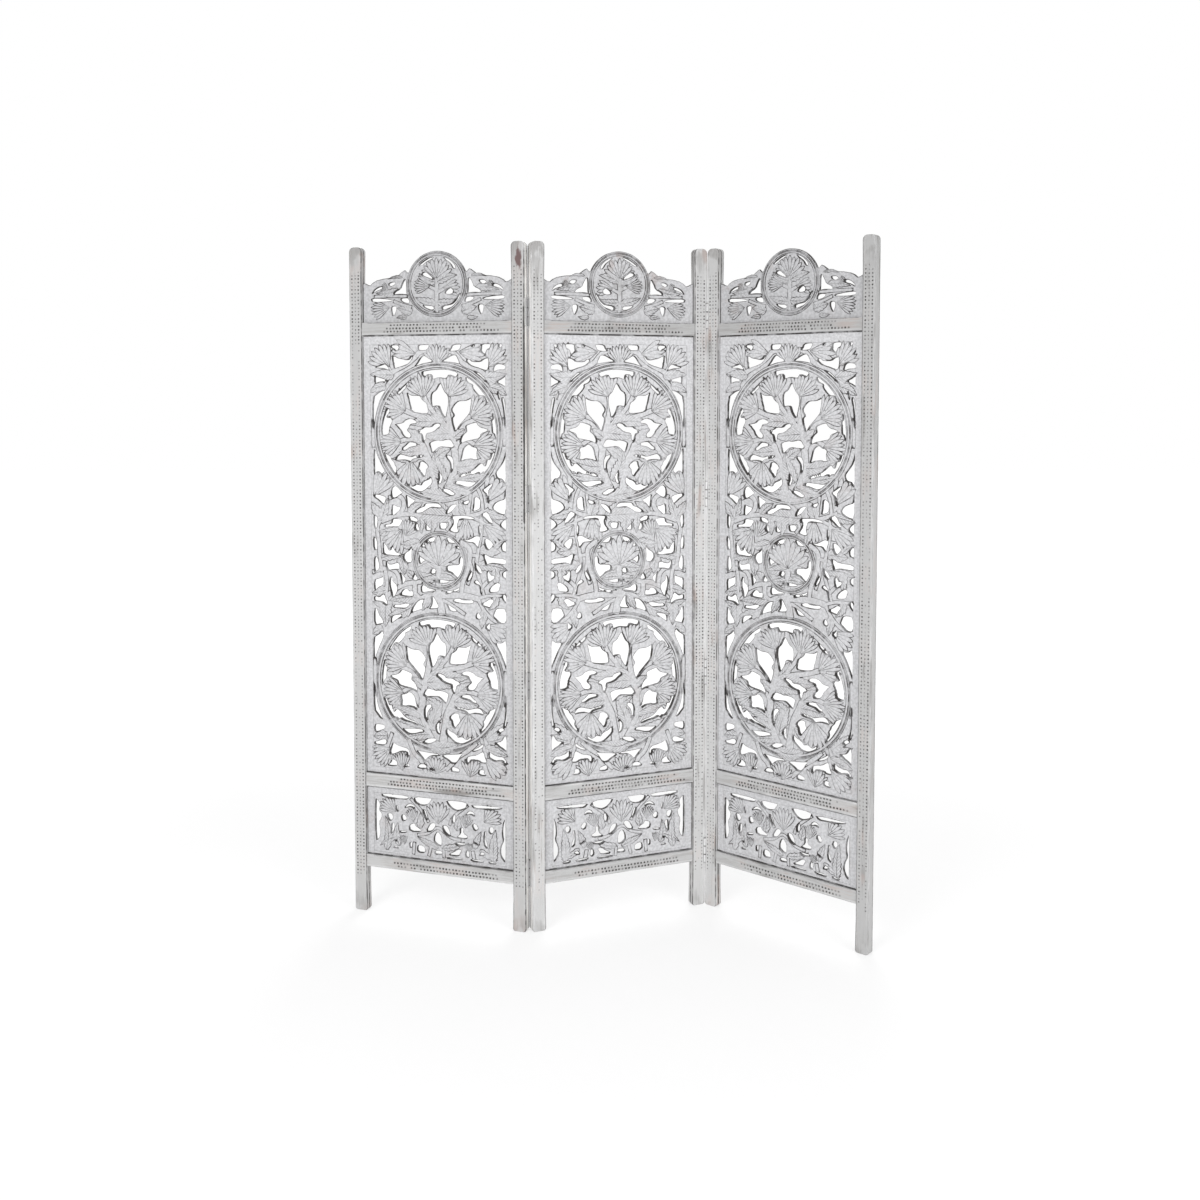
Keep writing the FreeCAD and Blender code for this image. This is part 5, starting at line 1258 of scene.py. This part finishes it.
def paint(name, grain, tone, wear, dark, punched, seed, spot):
    """White paint rubbed over carved wood, with dark lines in its recesses. Grain is the stretch of its
    streaks, wear and dark are the strengths of worn places and lines, and punched is the wear round the
    dots; spot is a place where the paint is worn away."""
    material = bpy.data.materials.new(name)
    n = Nodes(material, seed)
    where = n.new("TexCoord").outputs["Object"]
    height = n.put(n.new("SeparateXYZ"), where).outputs[2]
    rim, across = n.attribute("rim"), n.attribute("across")
    along, kind = n.attribute("along"), n.attribute("kind")
    wide = n.noise(5, EVEN, 2, 3)
    streak = n.noise(60, grain, 4, 1)
    fine = n.noise(260, grain, 3, 7)

    # Dark lines: at the edges of every form, and the veins of leaves
    aside = n.math("ABSOLUTE", across)
    is_leaf = n.times(n.math("GREATER_THAN", kind, .5), n.math("LESS_THAN", kind, 1.5))
    slant = n.math("ADD", along, n.times(aside, -1.3))
    veins = n.times(n.fall(n.math("PINGPONG", slant, 4.6), .35, 1.2), n.ramp(rim, 1.0, 2.5), .8)
    leaf_lines = n.times(is_leaf, n.most(n.fall(aside, .4, 1.3), veins))
    patchy = n.ramp(n.noise(22, EVEN, 2, 9), .34, .58, .25, .85)
    lines = n.most(n.fall(rim, .9, 2.5), n.times(leaf_lines, patchy))
    broken = n.ramp(n.noise(40, EVEN, 2, 13), .40, .54, .50, 1.0)
    # Negative marks turn solid black; among them is the painted shadow line on the arris at the left fold
    shade = n.most(n.times(lines, broken, dark), n.ramp(rim, -.1, -.9, 0, .95))

    # Worn places: streaks, the strip of the dots, and the heads and feet of posts
    on_border = n.math("GREATER_THAN", kind, 2.5)
    dotted = n.times(n.ramp(across, 3, 8), n.fall(across, 28, 34), on_border, punched)
    rubbed = n.times(n.ramp(streak, .50, .64), n.ramp(wide, .44, .58))
    rubbed = n.most(rubbed, n.times(dotted, n.ramp(fine, .40, .62), .55))
    if grain == UP:
        ends = n.most(n.ramp(height, WORN_TOP, HIGH * MM), n.ramp(height, WORN_FOOT, 0, 0, .7))
        rubbed = n.most(rubbed, n.times(ends, n.ramp(n.noise(30, (1, 1, .45), 4, 21), .44, .56)))

    # Colours, from the paint to the lines
    grime = n.times(n.ramp(n.noise(420, EVEN, 2, 5), .45, .75), n.ramp(wide, .35, .7, .25, 1.0), .30)
    white = n.mix(n.ramp(fine, .35, .65), tuple(c * .80 for c in tone[:3]) + (1,), tone)
    # Painted shade: posts and rails turn darker towards the top, where the lamps light them more
    if grain in (UP, SIDEWAYS):
        top_shade = n.ramp(height, TOP_SHADE_FROM, HIGH * MM, 0, .16 if grain == UP else .22)
        white = n.mix(top_shade, white, (0, 0, 0, 1))
    # Painted light: the side faces of posts at a fold are lighter, against the shade in the fold
    white = n.mix(n.ramp(kind, 3.2, 3.9), white, FOLD_PAINTED_LIGHT)
    wood = n.mix(n.ramp(n.noise(9, EVEN, 2, 17), .50, .62), GREY_WOOD, BROWN_WOOD)
    worn = n.mix(n.times(rubbed, wear), n.mix(grime, white, GRIME), wood)
    if spot:
        apart = n.vector("SUBTRACT", where, spot).outputs[0]
        apart = n.vector("MULTIPLY", apart, (1, .2, .36)).outputs[0]
        ragged = n.times(n.noise(150, (1, 1, .5), 4, 2), .012)
        reach = n.math("ADD", n.vector("LENGTH", apart).outputs["Value"], ragged)
        worn = n.mix(n.fall(reach, .0125, .0165), worn, DARK_WOOD)
    colour = n.mix(shade, worn, INK)
    relief = n.math("SUBTRACT", n.times(fine, .3), lines)
    bump = n.put(n.new("Bump"), Height=relief, Strength=.4, Distance=.0007)
    n.finish(n.put(n.new("BsdfPrincipled"), Base_Color=colour, Normal=bump.outputs[0], Roughness=.62,
                   Specular_IOR_Level=.35))
    return material


def grey(value, blue=1.0):
    return (value, value, value * blue, 1)


# How much bluer the boards are, the tones of posts and of boards and crests, and where a post is worn bare
COOL = 1.025
# Painted light: the right panel's left post, at the fold, is lighter to make up for the shade there, and the right
# panel's board and crest are lighter than the left panel's, whose paint is the same
post_tones_with_painted_light = {"left": (.57, .57), "middle": (.69, .68), "right": (.69, .55)}
board_tones_with_painted_light = {"left": (.56, .47), "middle": (.61, .52), "right": (.61, .50)}
worn_spots = {("left", "right"): (.4925, 0, 1.785)}
paints = {}
for number, panel in enumerate(("left", "middle", "right")):
    shift = 1.7 * number
    board, crest = board_tones_with_painted_light[panel]
    # Each look has its streaks, tone, worn places, dark lines, wear round the dots and worn spot
    looks = [(side + "_post", UP, grey(value), .6, .95, .8, worn_spots.get((panel, side)))
             for side, value in zip(("left", "right"), post_tones_with_painted_light[panel])]
    looks += [("rail", SIDEWAYS, grey(.60), .8, .97, 1.0, None),
              ("board", OVER_BOARD, grey(board, COOL), .12, 1.0, 0, None),
              ("crest", OVER_BOARD, grey(crest, COOL), .3, 1.0, 0, None),
              ("hinge", UP, grey(.74), .3, .7, 0, None)]
    for look, grain, tone, wear, dark, punched, spot in looks:
        name = panel + "_" + look + "_paint"
        paints[panel, look] = paint(name, grain, tone, wear, dark, punched, shift, spot)


def stand(name, carving, panel, body, slot, look, mirrored, *nodes):
    """Put a carving in its place in a panel and let it ride on the panel's body."""
    mesh = carving.mesh(name, mirrored, look not in ("board", "crest"))
    mesh.materials.append(paints[panel, look])
    piece = bpy.data.objects.new(name, mesh)
    piece.matrix_world = panel_matrix(panel)
    bpy.context.scene.collection.objects.link(piece)
    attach(piece, body)
    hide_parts(*nodes)


post_hinges = {("left", "right"): DEPTH, ("middle", "left"): DEPTH, ("middle", "right"): 0, ("right", "left"): 0}
boards = {"main_jali": main_board(), "lower_jali": lower_board(), "crest": crest_board()}
for panel in ("left", "middle", "right"):
    body = panel + "_panel"
    slot_name = "middle_wood" if panel == "middle" else "painted_wood"
    for name, carving in boards.items():
        look = "crest" if name == "crest" else "board"
        stand(panel + "_carved_" + name, carving, panel, body, slot_name, look, panel == "middle", panel + "_" + name)
    for name in RAILS:
        stand(panel + "_carved_" + name, rail(name), panel, body, slot_name, "rail", False, panel + "_" + name)
    for side in ("left", "right"):
        name = side + "_post"
        carving = post(panel, side, post_hinges.get((panel, side)))
        stand(panel + "_carved_" + name, carving, panel, body, slot_name, name, side == "right", panel + "_" + name)
for panel, side, back, fold in (
        ("left", "right", True, "left"), ("middle", "left", True, "left"), ("middle", "right", False, "right"),
        ("right", "left", False, "right")):
    holder = "fixed" if panel == "middle" else "swing"
    stand(fold + "_shown_" + holder + "_leaves", leaves(side, back, panel != "middle"), panel, panel + "_panel",
          "hinge_metal", "hinge", False, fold + "_hinge_" + holder + "_leaves")
    if panel == "middle":
        stand(fold + "_shown_pins", pins(side, back), panel, "middle_panel", "hinge_metal", "hinge", False,
              fold + "_hinge_pins")


def looked_at(n):
    """One for the rays of the camera and those seen in gloss or through glass, else nothing."""
    path = n.new("LightPath")
    return n.most(*(path.outputs[ray] for ray in ("Is Camera Ray", "Is Glossy Ray", "Is Transmission Ray")))


# A pale floor that keeps the screen's shadow, and soft light from above and in front
FLOOR_HALF = 20
floor_mesh = bpy.data.meshes.new("floor")
floor_mesh.from_pydata(
    [(x * FLOOR_HALF, y * FLOOR_HALF, 0) for x, y in ((-1, -1), (1, -1), (1, 1), (-1, 1))], [], [(0, 1, 2, 3)])
floor = bpy.data.objects.new("floor", floor_mesh)
bpy.context.scene.collection.objects.link(floor)
floor_material = bpy.data.materials.new("floor")
n = Nodes(floor_material)
matt = n.put(n.new("BsdfDiffuse"), Color=grey(.80))
glow = n.put(n.new("Emission"), Color=grey(1), Strength=1.1)
spread = n.vector("LENGTH", n.new("TexCoord").outputs["Object"]).outputs["Value"]
share = n.times(looked_at(n), n.ramp(spread, 1.3, 3.2, .55, 1.0))
n.finish(n.put(n.new("MixShader"), share, matt.outputs[0], glow.outputs[0]))
floor_mesh.materials.append(floor_material)

world = bpy.data.worlds.new("studio")
bpy.context.scene.world = world
n = Nodes(world)
light = n.put(n.new("Background"), Color=grey(1), Strength=.70)
white = n.put(n.new("Background"), Color=grey(1), Strength=1.0)
n.finish(n.put(n.new("MixShader"), looked_at(n), light.outputs[0], white.outputs[0]), "OutputWorld")


def soft_light(name, place, target, size, power):
    data = bpy.data.lights.new(name, "AREA")
    data.shape = "DISK"
    data.size = size
    data.energy = power
    lamp = bpy.data.objects.new(name, data)
    lamp.location = place
    lamp.rotation_euler = (Vector(target) - Vector(place)).to_track_quat("-Z", "Y").to_euler()
    bpy.context.scene.collection.objects.link(lamp)


soft_light("key", (-2.2, -3.4, 2.5), (0, 0, .8), 2.2, 85)
soft_light("fill", (2.6, -3.0, 1.7), (0, 0, .7), 2.6, 62)
soft_light("back", (.5, 3.2, 3.0), (0, 0, .9), 2.4, 60)

bpy.context.scene.view_settings.view_transform = "Standard"
